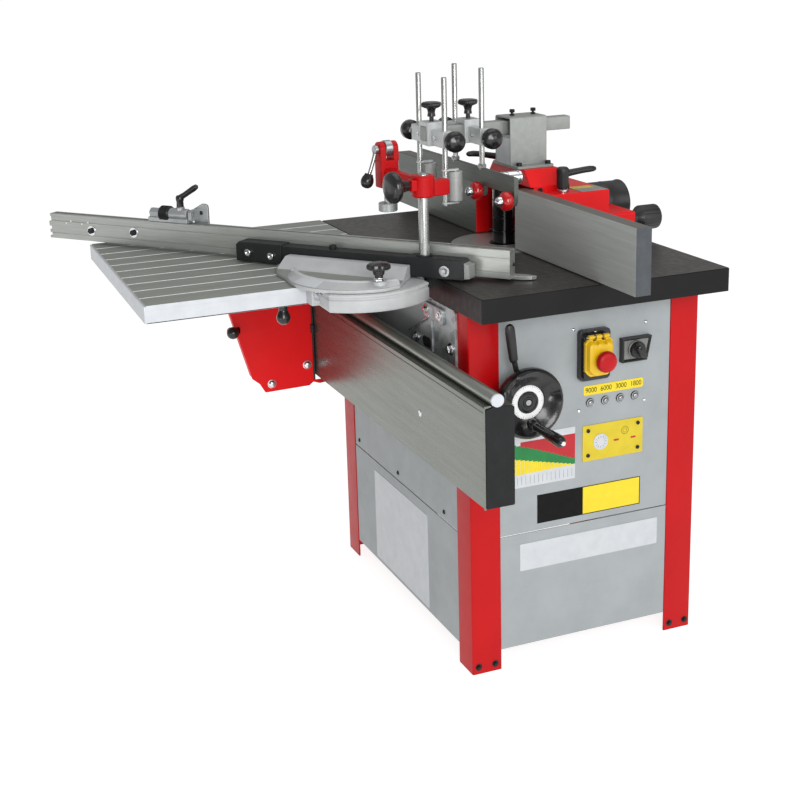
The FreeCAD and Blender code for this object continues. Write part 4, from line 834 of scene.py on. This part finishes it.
g = G(PIV)
z0 = 880.3
pr = [(0, -34), (5, -34), (5, 0), (11, 0), (11.4, 0.6), (11.4, 3.4), (9.4, 4.2), (8.6, 5.6), (8.6, 10), (11.4, 13), (12, 17), (13, 21)]
pr2 = [(21, 22.4), (25, 25.4), (25, 31), (23.4, 34.0), (18, 36), (9, 37), (0, 37)]
g.lathe(pr + pr2, (ku, kv, z0), (0, 0, 1), ["chrome"] * 7 + ["plasg"] * 20, 72,
        mod=lambda i, r, h, t: (r * (1 - (0.11 * (0.5 - 0.5 * math.cos(7 * t)) if 12 <= i <= 16 else 0)), h))
g.make("mitre_star_knob", "mitre_lock", "mitre_lock_knob", slot="black_plastic")

g = G(PIV)
g.box(-300, 120, 33, 68, 872, 904, "barblack", 1.6)
g.prism([(-327, 864), (-209, 864), (-209, 907), (-320, 907), (-327, 900)], "y", 30, 68, "barblack", 1.8)
g.prism([(96, 864), (228, 864), (228, 900), (222, 906), (96, 906)], "y", 32.3, 68, "barblack", 1.8)
g.prism([(226, 866), (240, 868), (240, 896), (226, 900)], "y", 36, 64, "bracketgrey", 1.0)
for u, z in ((-294, 885), (-235, 881)):
    g.socket((u, 30, z), (0, -1, 0), 7.5, 6, "chrome")
g.bolt((185, 32.3, 881), (0, -1, 0), 12, 6, "steel")
g.socket((-90, 52, 904), (0, 0, 1), 8, 8, "oxide")
g.tube((131, 51, 906), (0, 0, 1), 17, 11.2, 3, "barblack", 40, 0.6)
g.make("mitre_carrier", "mitre", "mitre_bar", slot="black_steel")

g = G(PIV)
pv = [(68, 867.8), (68.8, 867)]
pv += [(93.2, 867), (94, 867.8), (94, 889), (90, 889), (90, 885), (83, 885), (83, 901), (90, 901), (90, 897), (94, 897), (94, 926.2), (93.2, 927)]
pv += [(85, 927), (85, 923), (89, 923), (89, 916), (73, 916), (73, 923), (77, 923), (77, 927), (68.8, 927), (68, 926.2)]
for z, d in ((911, 1.2), (881, 1.2)):
    pv += [(68, z + 1.3), (68 + d, z + 0.8), (68 + d, z - 0.8), (68, z - 1.3)]
g.prism(pv, "x", -886, 316, "alu_m", 0)
for za, zb, ue in ((867, 873, -893), (880, 888, -892), (896, 908, -893), (920, 927, -889)):
    g.box(ue, -885.5, 68, 94, za, zb, "alu_m", 0.8)
g.prism([(270, 93.5), (330, 93.5), (350, 102), (357, 112), (340, 118), (270, 112)], "z", 861.5, 869, "alu_m", 1.0)
for u, z in ((-763.9, 892.7), (-638.5, 897)):
    g.tube((u, 68, z), (0, -1, 0), 12, 5, 1.6, "chrome", 32, 0.3)
    g.hexa((u, 66.6, z), (0, -1, 0), 13, 6, "oxide")
for u, z in ((-839, 906.7), (-825, 912), (-791.7, 907), (-773, 912)):
    g.lathe([(0, 0), (2.6, 0), (2.2, 0.9), (0, 1.3)], (u, 68, z), (0, -1, 0), "chrome", 16)
g.make("mitre_extrusion", "mitre", "mitre_fence", slot="alu")

g = G(PIV)
g.lathe([(0, 0), (11, 0), (11, 203), (10.2, 205.6), (8.8, 207), (0, 207)], (131, 51, 872), (0, 0, 1), "rod", 40)
g.make("hold_post", "mitre", "hold_down_post", slot="bright_bar")

g = G(PIV)
vm = 81.0
FZ = 946.0
g.box(-594, -484, vm - 12.5, vm + 12.5, 927.3, 938, "alu", 1.4)
g.box(-584, -494, vm - 3.6, vm + 3.6, 919, 928, "alu", 0.4)
g.hexa((-563, vm, FZ), (-1, 0, 0), 22, 28, "alu")
g.lathe([(0, 0), (15, 0), (18, 2), (18, 25), (15, 28), (0, 28)], (-563, vm, FZ), (1, 0, 0), "oxide", 64,
        mod=lambda i, r, h, t: (r * (0.955 if i in (2, 3) and int(round(t * 64 / (2 * math.pi))) % 2 else 1.0), h))
g.lathe([(0, 0), (13, 0), (14, 1), (14, 46), (12, 50), (0, 51)], (-536, vm, FZ), (1, 0, 0), "alu", 40)
g.lathe([(0, 4), (10, 4), (10, 16), (8.6, 18), (8, 30), (9.4, 34), (9.4, 40), (7, 44), (0, 45)], (-509, vm, FZ), (0, 0, 1), ["steel"] * 3 + ["plasg"] * 6, 36)
g.sweep([(-512, vm, 983), (-506, vm, 986), (-496, vm, 991.5), (-482, vm, 1000), (-468, vm, 1008.5), (-460, vm, 1013.3), (-456.6, vm, 1015.4)], [6, 7, 6.4, 6.6, 7, 5.6, 1.4], "plasg", 20)
g.cyl((-490, vm, FZ), (1, 0, 0), 4, 16.4, "steel", 24)
g.make("flip_stop_slide", "flip_stop", "flip_stop_block", slot="alu")
g = G(PIV)
g.prism([(vm - 9, 935), (vm - 7, 933), (100, 933), (102, 935), (102, 958), (vm - 5, 958), (vm - 9, 953)], "x", -483.5, -474, "alu", 1.0)
g.prism([(-483.5, 889), (-450, 889), (-444, 895), (-444, 964), (-446, 969), (-451, 971), (-460, 971), (-483.5, 958)], "y", 95.5, 102, "alu", 1.2)
g.pan((-462, 95.5, 950), (0, -1, 0), 4.5, 2.6, "oxide")
g.make("flip_stop_finger", "flip_arm", "flip_stop_arm", slot="alu")

# ---------------------------------------------------------------- hold-down
AR, CZ_ = 152.0, 1112.0
g = G(HOLD)
g.lathe([(11.2, 1030), (21, 1030), (24, 1033), (24, 1072), (21.5, 1075), (11.2, 1075)], (0, 0, 0), (0, 0, 1), "red", 48, ring=True)
rings = []
for x, hw, z0, z1 in ((8, 15, 1035, 1071), (24, 15.5, 1034, 1071), (40, 13.5, 1036, 1069), (80, 13.0, 1037, 1068), (112, 13.6, 1036, 1069), (134, 16.5, 1032, 1072), (146, 19.5, 1031, 1074)):
    rings.append([(x, p[0], p[1]) for p in rrect(-hw, hw, z0, z1, 6.5, 4)])
g.loft(rings, "red")
base = []
for z, a, c in ((1030, 15.5, 20), (1032, 17, 21.5), (1086, 17, 21.5), (1089, 17, 21.5)):
    base.append([(p[0], p[1], z) for p in rrect(AR - a, AR + a, -c, c, 5, 4)])
g.loft(base, "red")
for y0, y1 in ((-21.5, -8.6), (8.6, 21.5)):
    pts = [(AR + 17, 1086)] + [(AR + 16 * math.cos(math.radians(a)), CZ_ + 16 * math.sin(math.radians(a))) for a in range(0, 181, 12)] + [(AR - 17, 1086)]
    g.prism(pts, "y", y0, y1, "red", 1.8)
g.box(-12, 12, 18, 33, 1044, 1068, "red", 3.0)
hb = []
for z, k in ((1030, 2.0), (1032, 0), (1060, 0), (1062, 2.0)):
    hb.append([(p[0], p[1], z) for p in rrect(-14 + k, 14 - k, -60 + k, -8, 10, 5)])
g.loft(hb, "red")
g.socket((14, -42, 1046), (1, 0, 0), 5, 4, "chrome")
g.make("hold_arm_casting", "hold_down", "hold_down_arm", slot="painted_red")
g = G(HOLD)
g.lathe([(5, -8), (16.4, -8), (17, -7.2), (17, 7.2), (16.4, 8), (5, 8)], (AR, 0, CZ_ + 1), (0, 1, 0), "steel", 56, ring=True)
g.lathe([(0, -25), (7.5, -25), (8, -24.4), (8, -21.8), (5, -21.7), (5, 22), (9, 22), (9.4, 22.6), (9.4, 30), (8.6, 31), (0, 31.4)], (AR, 0, CZ_), (0, 1, 0), "steel", 32)
g.sweep([(AR, 26, CZ_ - 2), (AR, 30, CZ_ - 16), (AR, 38, CZ_ - 38), (AR, 45, CZ_ - 56)], [5.2, 4.4, 4.2, 4.2], "rod", 20)
d = Vector((0, 20, -58)).normalized()
p0 = Vector((AR, 49, CZ_ - 66)) - d * 17
g.lathe([(4.3, 0), (8.4, 0), (9.0, 1.2), (9.8, 4.0), (12.6, 9.0), (14, 16), (13.2, 22), (10.6, 27), (6.2, 30.4), (0, 31.4)], p0, d, "plasg", 36)
g.make("cam_and_lever", "cam_lever", "hold_down_lever", slot="steel")
g = G(HOLD)
g.lathe([(0, 0), (19.6, 0), (20.6, 1.0), (20.6, 16.6), (19.4, 18.0), (8, 18.2), (8, 99.6), (7.2, 100.6), (0, 100.6)], (AR, 0, 978), (0, 0, 1), ["alu"] * 5 + ["steel"] * 4, 48)
g.make("hold_foot_disc", "hold_foot", "hold_down_foot", slot="steel")
g = G(HOLD)
g.lathe([(0, 11.6), (5, 11.6), (5, 34.3)] + [(8.4, 34.3), (10.4, 36), (12, 46), (14.6, 52), (18, 56), (24, 58.6), (29.4, 62), (32, 66), (32.5, 70), (31.6, 75), (28.6, 79), (22, 82.2), (12, 83.8), (0, 84.2)],
        (0, 0, 1056), (0, 1, 0), ["chrome"] * 2 + ["plasg"] * 20, 64)
g.make("hold_clamp_knob", "arm_clamp", "arm_clamp_knob", slot="black_plastic")

# ---------------------------------------------------------------- fence hood
g = G()
y0 = 302.3
# the hood takes the brighter red copy: painted light
g.box(-630, -612, y0, 465, 862, 990, "redcar", 2.2)
g.box(-324, -306, y0, 465, 862, 990, "redcar", 2.2)
g.holeplate(-614, -322, 862, 984, -468, 927, 46.6, 396, 408, "redcar")
g.holeplate(-614, -322, 862, 988, -468, 927, 46.6, 457, 465, "redcar")
g.box(-612, -574, y0, 465, 981, 990, "redcar", 1.0)
g.box(-362, -324, y0, 465, 981, 990, "redcar", 1.0)
g.box(-576, -360, 388, 465, 981, 990, "redcar", 1.0)
tail = [(-630, 862), (-306, 862), (-306, 930), (-310, 934), (-421.9, 934)] + \
       [(-468 + 46.6 * math.cos(math.radians(a)), 927 + 46.6 * math.sin(math.radians(a))) for a in (0, -25, -48, -70, -90, -110, -132, -155, -180)] + [(-514.1, 934), (-626, 934), (-630, 930)]
g.prism(tail, "y", 464, 533, "redcar", 2.0)
# neck and tapered cap, open below
for q in ((-578, -570), (-366, -358)):
    g.box(*q, y0, 392, 986, 1002, "redcar", 0.6)
g.box(-578, -358, 384, 392, 986, 1002, "redcar", 0.6)
o0 = [(-578, 294, 1000), (-358, 294, 1000), (-358, 392, 1000), (-578, 392, 1000)]
o1 = [(-549, 294, 1036), (-387, 294, 1036), (-387, 380, 1036), (-549, 380, 1036)]
i1 = [(-544, 299, 1030), (-392, 299, 1030), (-392, 375, 1030), (-544, 375, 1030)]
i0 = [(-570, 299, 1000), (-366, 299, 1000), (-366, 384, 1000), (-570, 384, 1000)]
v = o0 + o1 + i1 + i0
f = []
for r in range(3):
    f += [(r * 4 + k, r * 4 + (k + 1) % 4, (r + 1) * 4 + (k + 1) % 4, (r + 1) * 4 + k) for k in range(4) if r != 1]
f += [(4, 5, 6, 7), (8, 11, 10, 9)]
f += [(12 + k, 12 + (k + 1) % 4, (k + 1) % 4, k) for k in range(4)]
g.add(v, f, "redcar", 2.0)
# grey slip plate and yellow strip on the shelf
g.box(-372, -309, 394, 462, 990, 991.0, "bracketgrey", 0.4)
g.box(-370, -346, 396, 446, 991.0, 991.6, "plateyellow", 0.2)
g.socket((-358, 318, 994), (1, 0, 0), 5, 4, "oxide")
# dust port: ribbed black spigot
g.lathe([(46.5, -8), (48.4, -8), (48.4, -1), (56, -1), (57, 0), (57, 5), (56, 6), (50.4, 6), (50, 9), (50, 72), (50.8, 75), (50, 78), (50, 114), (51.6, 118), (51.6, 121), (50.6, 123), (47.4, 123), (46.5, 122)],
        (-468, 465, 927), (0, 1, 0), "plas", 72, ring=True)
g.make("hood_casting", "hood", "fence_hood", slot="painted_red")

for nm, x0, x1, body, node in (("right", -382.0, 128.0, "fence_right", "fence_plate_right"), ("left", -1060.0, -584.0, "fence_left", "fence_plate_left")):
    g = G()
    # the left board's face takes the darker copy of the fence finish: painted shade
    face = "fence" if nm == "right" else "fencedull"
    # the top face takes a darker copy of the fence finish: painted shade
    pts = [(267, 862), (302, 862), (302, 995.5), (300.5, 997), (268.5, 997), (267, 995.5)]
    # the left board's inner end takes the brighter red copy: painted light
    g.prism(pts, "x", x0, x1, ["fenceend", "fenceend" if nm == "right" else "redcar"] + [face, face, face, "fencetop", face, face], 0.5)
    # bolts on the back face
    for bx in ((-350, -331) if nm == "right" else (-605, -620)):
        g.socket((bx, 302, 905), (0, 1, 0), 6, 0.25, "oxide")
    g.make("fence_board_" + nm, body, node, slot="alu")


def clamp(x, y, z, hd, ln, z0, z1, name, body, node):
    g = G(Matrix.Translation((x, y, z)) @ Matrix.Rotation(math.radians(hd), 4, "Z"))
    g.lathe([(0, -7), (6, -7), (6, 0.4), (11.4, 0.4), (12, 1), (12, 6), (11, 7), (9.6, 8)] + [(12.0, 8.4), (13.4, 14), (13.6, 40), (14.2, 46), (13.4, 52), (10, 55.4), (0, 56)], (0, 0, 0), (0, 0, 1),
            ["chrome"] * 7 + ["plas"] * 20, 48, mod=lambda i, r, h, t: (r * (1 - (0.07 * (0.5 - 0.5 * math.cos(12 * t)) if i in (9, 10) else 0)), h))
    pth = [(ln * q, 0, z0 + (z1 - z0) * min(1.0, 1.25 * q)) for q in (0.0, 0.13, 0.3, 0.5, 0.7, 0.88, 1.0)] + [(ln + 5.0, 0, z1), (ln + 6.6, 0, z1)]
    g.sweep(pth, [(10, 9), (9.2, 8.2), (8.4, 7.4), (8.2, 7.0), (8.6, 7.0), (8.6, 7.0), (7.4, 6.2), (4.6, 4.0), (1.4, 1.0)], "plas", 24, flat=(0, 1, 0))
    g.make(name, body, node, slot="black_plastic")


clamp(-331.0, 360.0, 990.0, 88.0, 76.0, 40.0, 46.0, "clamp_handle_right", "clamp_right", "clamp_lever_right")
clamp(-605.0, 346.0, 990.0, 270.0, 86.0, 44.0, 58.0, "clamp_handle_left", "clamp_left", "clamp_lever_left")
g = G()
g.lathe([(0, -12), (6, -12), (6, 0.4), (16, 0.4), (17, 1.4), (17, 16), (19, 19), (27, 28), (28.5, 31), (28.5, 70), (27.4, 74), (24, 77), (14, 78), (12, 76.4), (0, 76)], (-340, 533, 910), (0, 1, 0),
        "plas", 96, mod=lambda i, r, h, t: (r * (0.965 if i in (8, 9) and int(round(t * 96 / (2 * math.pi))) % 4 in (0, 1) else 1.0), h))
g.make("depth_knob_grip", "depth", "depth_knob", slot="black_plastic")

# ---------------------------------------------------------------- presser
PX, PZ = -468.0, 1125.0
g = G()
# folded sheet bracket: two cheeks, top and a base flange
U = [(-38, 1041), (-38, 1143.5), (-36.5, 1147.4), (-32.6, 1149), (32.6, 1149), (36.5, 1147.4), (38, 1143.5), (38, 1041), (34, 1041), (34, 1143), (32, 1145), (-32, 1145), (-34, 1143), (-34, 1041)]
g.prism([(PX + a, c) for a, c in U], "y", 281, 373, "bracketgrey", 0.8)
g.box(PX - 34.4, PX + 34.4, 281.6, 372.4, 1101, 1109.7, "bracketgrey", 0.8)
g.box(PX - 34.4, PX + 34.4, 369, 372.6, 1042, 1102, "bracketgrey", 0.8)
# the front plate takes the bright finish: painted light on its shaded face
g.box(PX - 34.4, PX + 34.4, 281.4, 285, 1042, 1102, "endwhite", 0.8)
g.prism(rrect(PX - 62, PX + 68, 283, 378, 9), "z", 1036, 1042, "bracketgrey", 1.0)
for y in (305, 358):
    g.cyl((PX, y, 1136), (0, 0, 1), 3, 21, "oxide", 20)
    g.hexa((PX, y, 1148.8), (0, 0, 1), 10, 4, "oxide")
    g.hexa((PX, y, 1156), (0, 0, 1), 11, 7, "oxide")
for dx in (-51, 53):
    for y in (295, 368):
        g.socket((PX + dx, y, 1042), (0, 0, 1), 6.5, 7, "oxide")
g.make("presser_bracket_fold", "hood", "presser_bracket", slot="galvanised")
g = G()
rings = []
for y, k in ((84, 0.8), (84.8, 0), (445.2, 0), (446, 0.8)):
    rings.append([(p[0], y, p[1]) for p in rrect(PX - 15 + k, PX + 15 - k, PZ - 15 + k, PZ + 15 - k, 2.2, 4)])
g.loft(rings, "bracketgrey")
g.make("presser_square_bar", "press_bar", "presser_bar", slot="bright_bar")


def saddle(y, name, body, node):
    g = G()
    # main clamp block round the bar, as four walls
    for q in ((PX - 25, PX - 15.4, PZ - 26, PZ + 26), (PX + 15.4, PX + 25, PZ - 26, PZ + 26), (PX - 16, PX + 16, PZ + 15.4, PZ + 26), (PX - 16, PX + 16, PZ - 26, PZ - 15.4)):
        g.box(q[0], q[1], y - 20, y + 20, q[2], q[3], "saddlegrey", 1.2)
    for sx in (-1, 1):
        a, c = sorted((PX + sx * 24, PX + sx * 88))
        g.box(a, c, y - 12, y + 12, PZ - 24, PZ + 12, "saddlegrey", 1.6)
        g.socket((PX + sx * 45, y - 12, PZ - 6), (0, -1, 0), 4.5, 3, "chrome")
    g.lathe([(0, 25), (5, 25), (5, 36), (9, 36.4), (9, 40), (8, 44), (9, 50), (11, 54)] + [(16, 55.4), (23, 58.6), (24, 61), (24, 64), (22, 67), (16, 68.4), (0, 69)], (PX, y, PZ), (0, 0, 1), "plasg", 72,
            mod=lambda i, r, h, t: (r * (1 - (0.10 * (0.5 - 0.5 * math.cos(6 * t)) if 9 <= i <= 12 else 0)), h))
    for sx in (-1, 1):
        p = (PX + sx * 87, y, PZ - 6)
        g.lathe([(0, 0), (8, 0), (8, 5), (7, 6), (7, 18), (9, 21)] + [(12, 22.4), (20.4, 27), (22.5, 30), (22.5, 41), (21.4, 44), (18.4, 47), (14, 49.6), (9.4, 50.4), (8.6, 51), (0, 52.6)], p, (sx, 0, 0),
                ["steel"] * 5 + ["plasg"] * 20, 64)
    g.make(name, body, node, slot="steel")


saddle(106.0, "front_saddle_block", "front_saddle", "front_saddle")
saddle(195.0, "rear_saddle_block", "rear_saddle", "rear_saddle")

g = G()
for dx in (-70, 70):
    x = PX + dx
    g.lathe([(0, 0), (5.2, 0), (6, 0.8), (6, 278.6), (5.2, 280), (0, 280)], (x, 106, 972), (0, 0, 1), "rod", 32)
    for z in (976, 1049):
        g.prism(rrect(x - 6, x + 6, 98, 138, 5, 6), "z", z, z + 4, "saddlegrey", 0.8)
    g.cyl((x, 129.5, 978), (0, 0, 1), 4, 73, "steel", 24)
g.make("front_rod_pair", "front_rods", "front_presser_rods", slot="bright_bar")
for nm, dx in (("left", -70), ("right", 70)):
    g = G()
    g.lathe([(4.1, 0), (14.6, 0), (16, 1.6), (16, 12), (15.6, 12.6), (16, 13.2), (16, 52.8), (15.6, 53.4), (16, 54), (16, 64.4), (14.6, 66), (4.1, 66)], (PX + dx, 129.5, 981.5), (0, 0, 1), "rollgrey", 48, ring=True)
    g.make("upright_roller_" + nm, "front_roller_" + nm[0], "front_roller_" + nm, slot="roller_grey")

g = G()
# the carrier strip and its bosses take the darker copy of the fence finish: painted shade
g.prism([(-748, 1012), (-232, 1012), (-232, 1046), (-236, 1050), (-744, 1050), (-748, 1046)], "y", 190, 200, "carrier", 1.2)
for dx in (-70, 70):
    g.lathe([(0, 0), (6, 0), (6, 220.6), (5.2, 222), (0, 222)], (PX + dx, 195, 1045), (0, 0, 1), "rod", 32)
    g.hexa((PX + dx, 195, 1049.6), (0, 0, 1), 17, 8, "steel")
for x in (-392, -245):
    g.prism([(x - 17, 1014), (x - 12, 996), (x - 6, 988.4), (x + 6, 988.4), (x + 11, 996), (x + 13, 1014)], "y", 190, 200, "carrier", 1.2)
    g.cyl((x, 163, 1000), (0, 1, 0), 6, 30, "steel", 28)
    g.lathe([(0, 0), (10.6, 0), (11, 0.6), (11, 5.4), (10, 8.4), (7.4, 11), (4, 12.6), (0, 13)], (x, 164.5, 1000), (0, -1, 0), "chrome", 32)
g.lathe([(0, 0), (13.6, 0), (15, 1.4), (15, 8), (14, 9), (14, 12), (15, 13), (15, 34), (14, 35), (14, 38), (15, 39), (15, 44), (13.4, 46), (0, 46.4)], (-312, 199, 1036), (0, 1, 0), "chrome", 48)
g.make("roller_carrier", "roller_bar", "roller_bar", slot="galvanised")
for nm, x in (("left", -392), ("right", -245)):
    g = G()
    g.lathe([(6.1, 0), (13, 0), (16.6, 1.8), (19.2, 4.6), (20.6, 8.2), (21, 12), (20.6, 15.8), (19.2, 19.4), (16.6, 22.2), (13, 24), (6.1, 24)], (x, 165, 1000), (0, 1, 0), "redroller", 56, ring=True)
    g.make("press_wheel_" + nm, "press_roller_" + nm[0], "press_roller_" + nm, slot="red_plastic")

# ---------------------------------------------------------------- stage
fl = bpy.data.meshes.new("floor")
fl.from_pydata([(-60, -60, 0), (60, -60, 0), (60, 60, 0), (-60, 60, 0)], [], [(0, 1, 2, 3)])
floor = bpy.data.objects.new("floor", fl)
bpy.context.scene.collection.objects.link(floor)
material("floor", srgb(158, 158, 158), srgb(162, 162, 162), (0.8, 0.9), scale=0.6, spec=0.1)
fb = MAT["floor"].node_tree.nodes["Principled BSDF"]
fb.inputs["Emission Color"].default_value = (1.0, 1.0, 1.0, 1.0)
fb.inputs["Emission Strength"].default_value = 0.86
fl.materials.append(MAT["floor"])

world = bpy.data.worlds.new("studio")
bpy.context.scene.world = world
world.use_nodes = True
bg = world.node_tree.nodes["Background"]
bg.inputs["Color"].default_value = (1.0, 1.0, 1.0, 1.0)
bg.inputs["Strength"].default_value = 0.42


def light(name, loc, aim, size, power, sy=None):
    d = bpy.data.lights.new(name, "AREA")
    d.energy = power
    d.shape = "RECTANGLE"
    d.size = size
    d.size_y = sy or size
    o = bpy.data.objects.new(name, d)
    bpy.context.scene.collection.objects.link(o)
    o.location = loc
    o.rotation_mode = "QUATERNION"
    o.rotation_quaternion = (Vector(aim) - Vector(loc)).to_track_quat("-Z", "Y")
    return o


light("key", (4.2, -0.9, 2.0), (0, 0, 0.65), 2.0, 110)
light("side", (3.2, 1.8, 2.0), (0, 0.1, 0.6), 1.8, 26)
light("top", (0.0, 0.4, 3.8), (0, 0, 0.8), 3.0, 30)
light("low", (1.0, -2.4, 0.35), (0.35, 0.1, 0.9), 0.7, 3.5)

# ---------------------------------------------------------------- camera
AZ, EL, ROLL, F = math.radians(67.884), math.radians(15.6931), math.radians(-1.6341), 1425.4055
POS = ((2428.7665 + SX) / 1000.0, (-1160.9413 + SY) / 1000.0, 1.547749)
back = Vector((math.sin(AZ) * math.cos(EL), -math.cos(AZ) * math.cos(EL), math.sin(EL)))
rt = Vector((math.cos(AZ), math.sin(AZ), 0.0))
upv = back.cross(rt)
R = rt * math.cos(ROLL) + upv * math.sin(ROLL)
U = upv * math.cos(ROLL) - rt * math.sin(ROLL)
cd = bpy.data.cameras.new("camera")
cam = bpy.data.objects.new("camera", cd)
bpy.context.scene.collection.objects.link(cam)
cam.matrix_world = Matrix(((R.x, U.x, back.x, POS[0]), (R.y, U.y, back.y, POS[1]), (R.z, U.z, back.z, POS[2]), (0, 0, 0, 1)))
cd.sensor_width = 36.0
cd.lens = F / 800.0 * 36.0
cd.shift_y = (336.0 - 400.0) / 800.0
cd.clip_end = 200.0
bpy.context.scene.camera = cam
bpy.context.scene.view_settings.view_transform = "Standard"
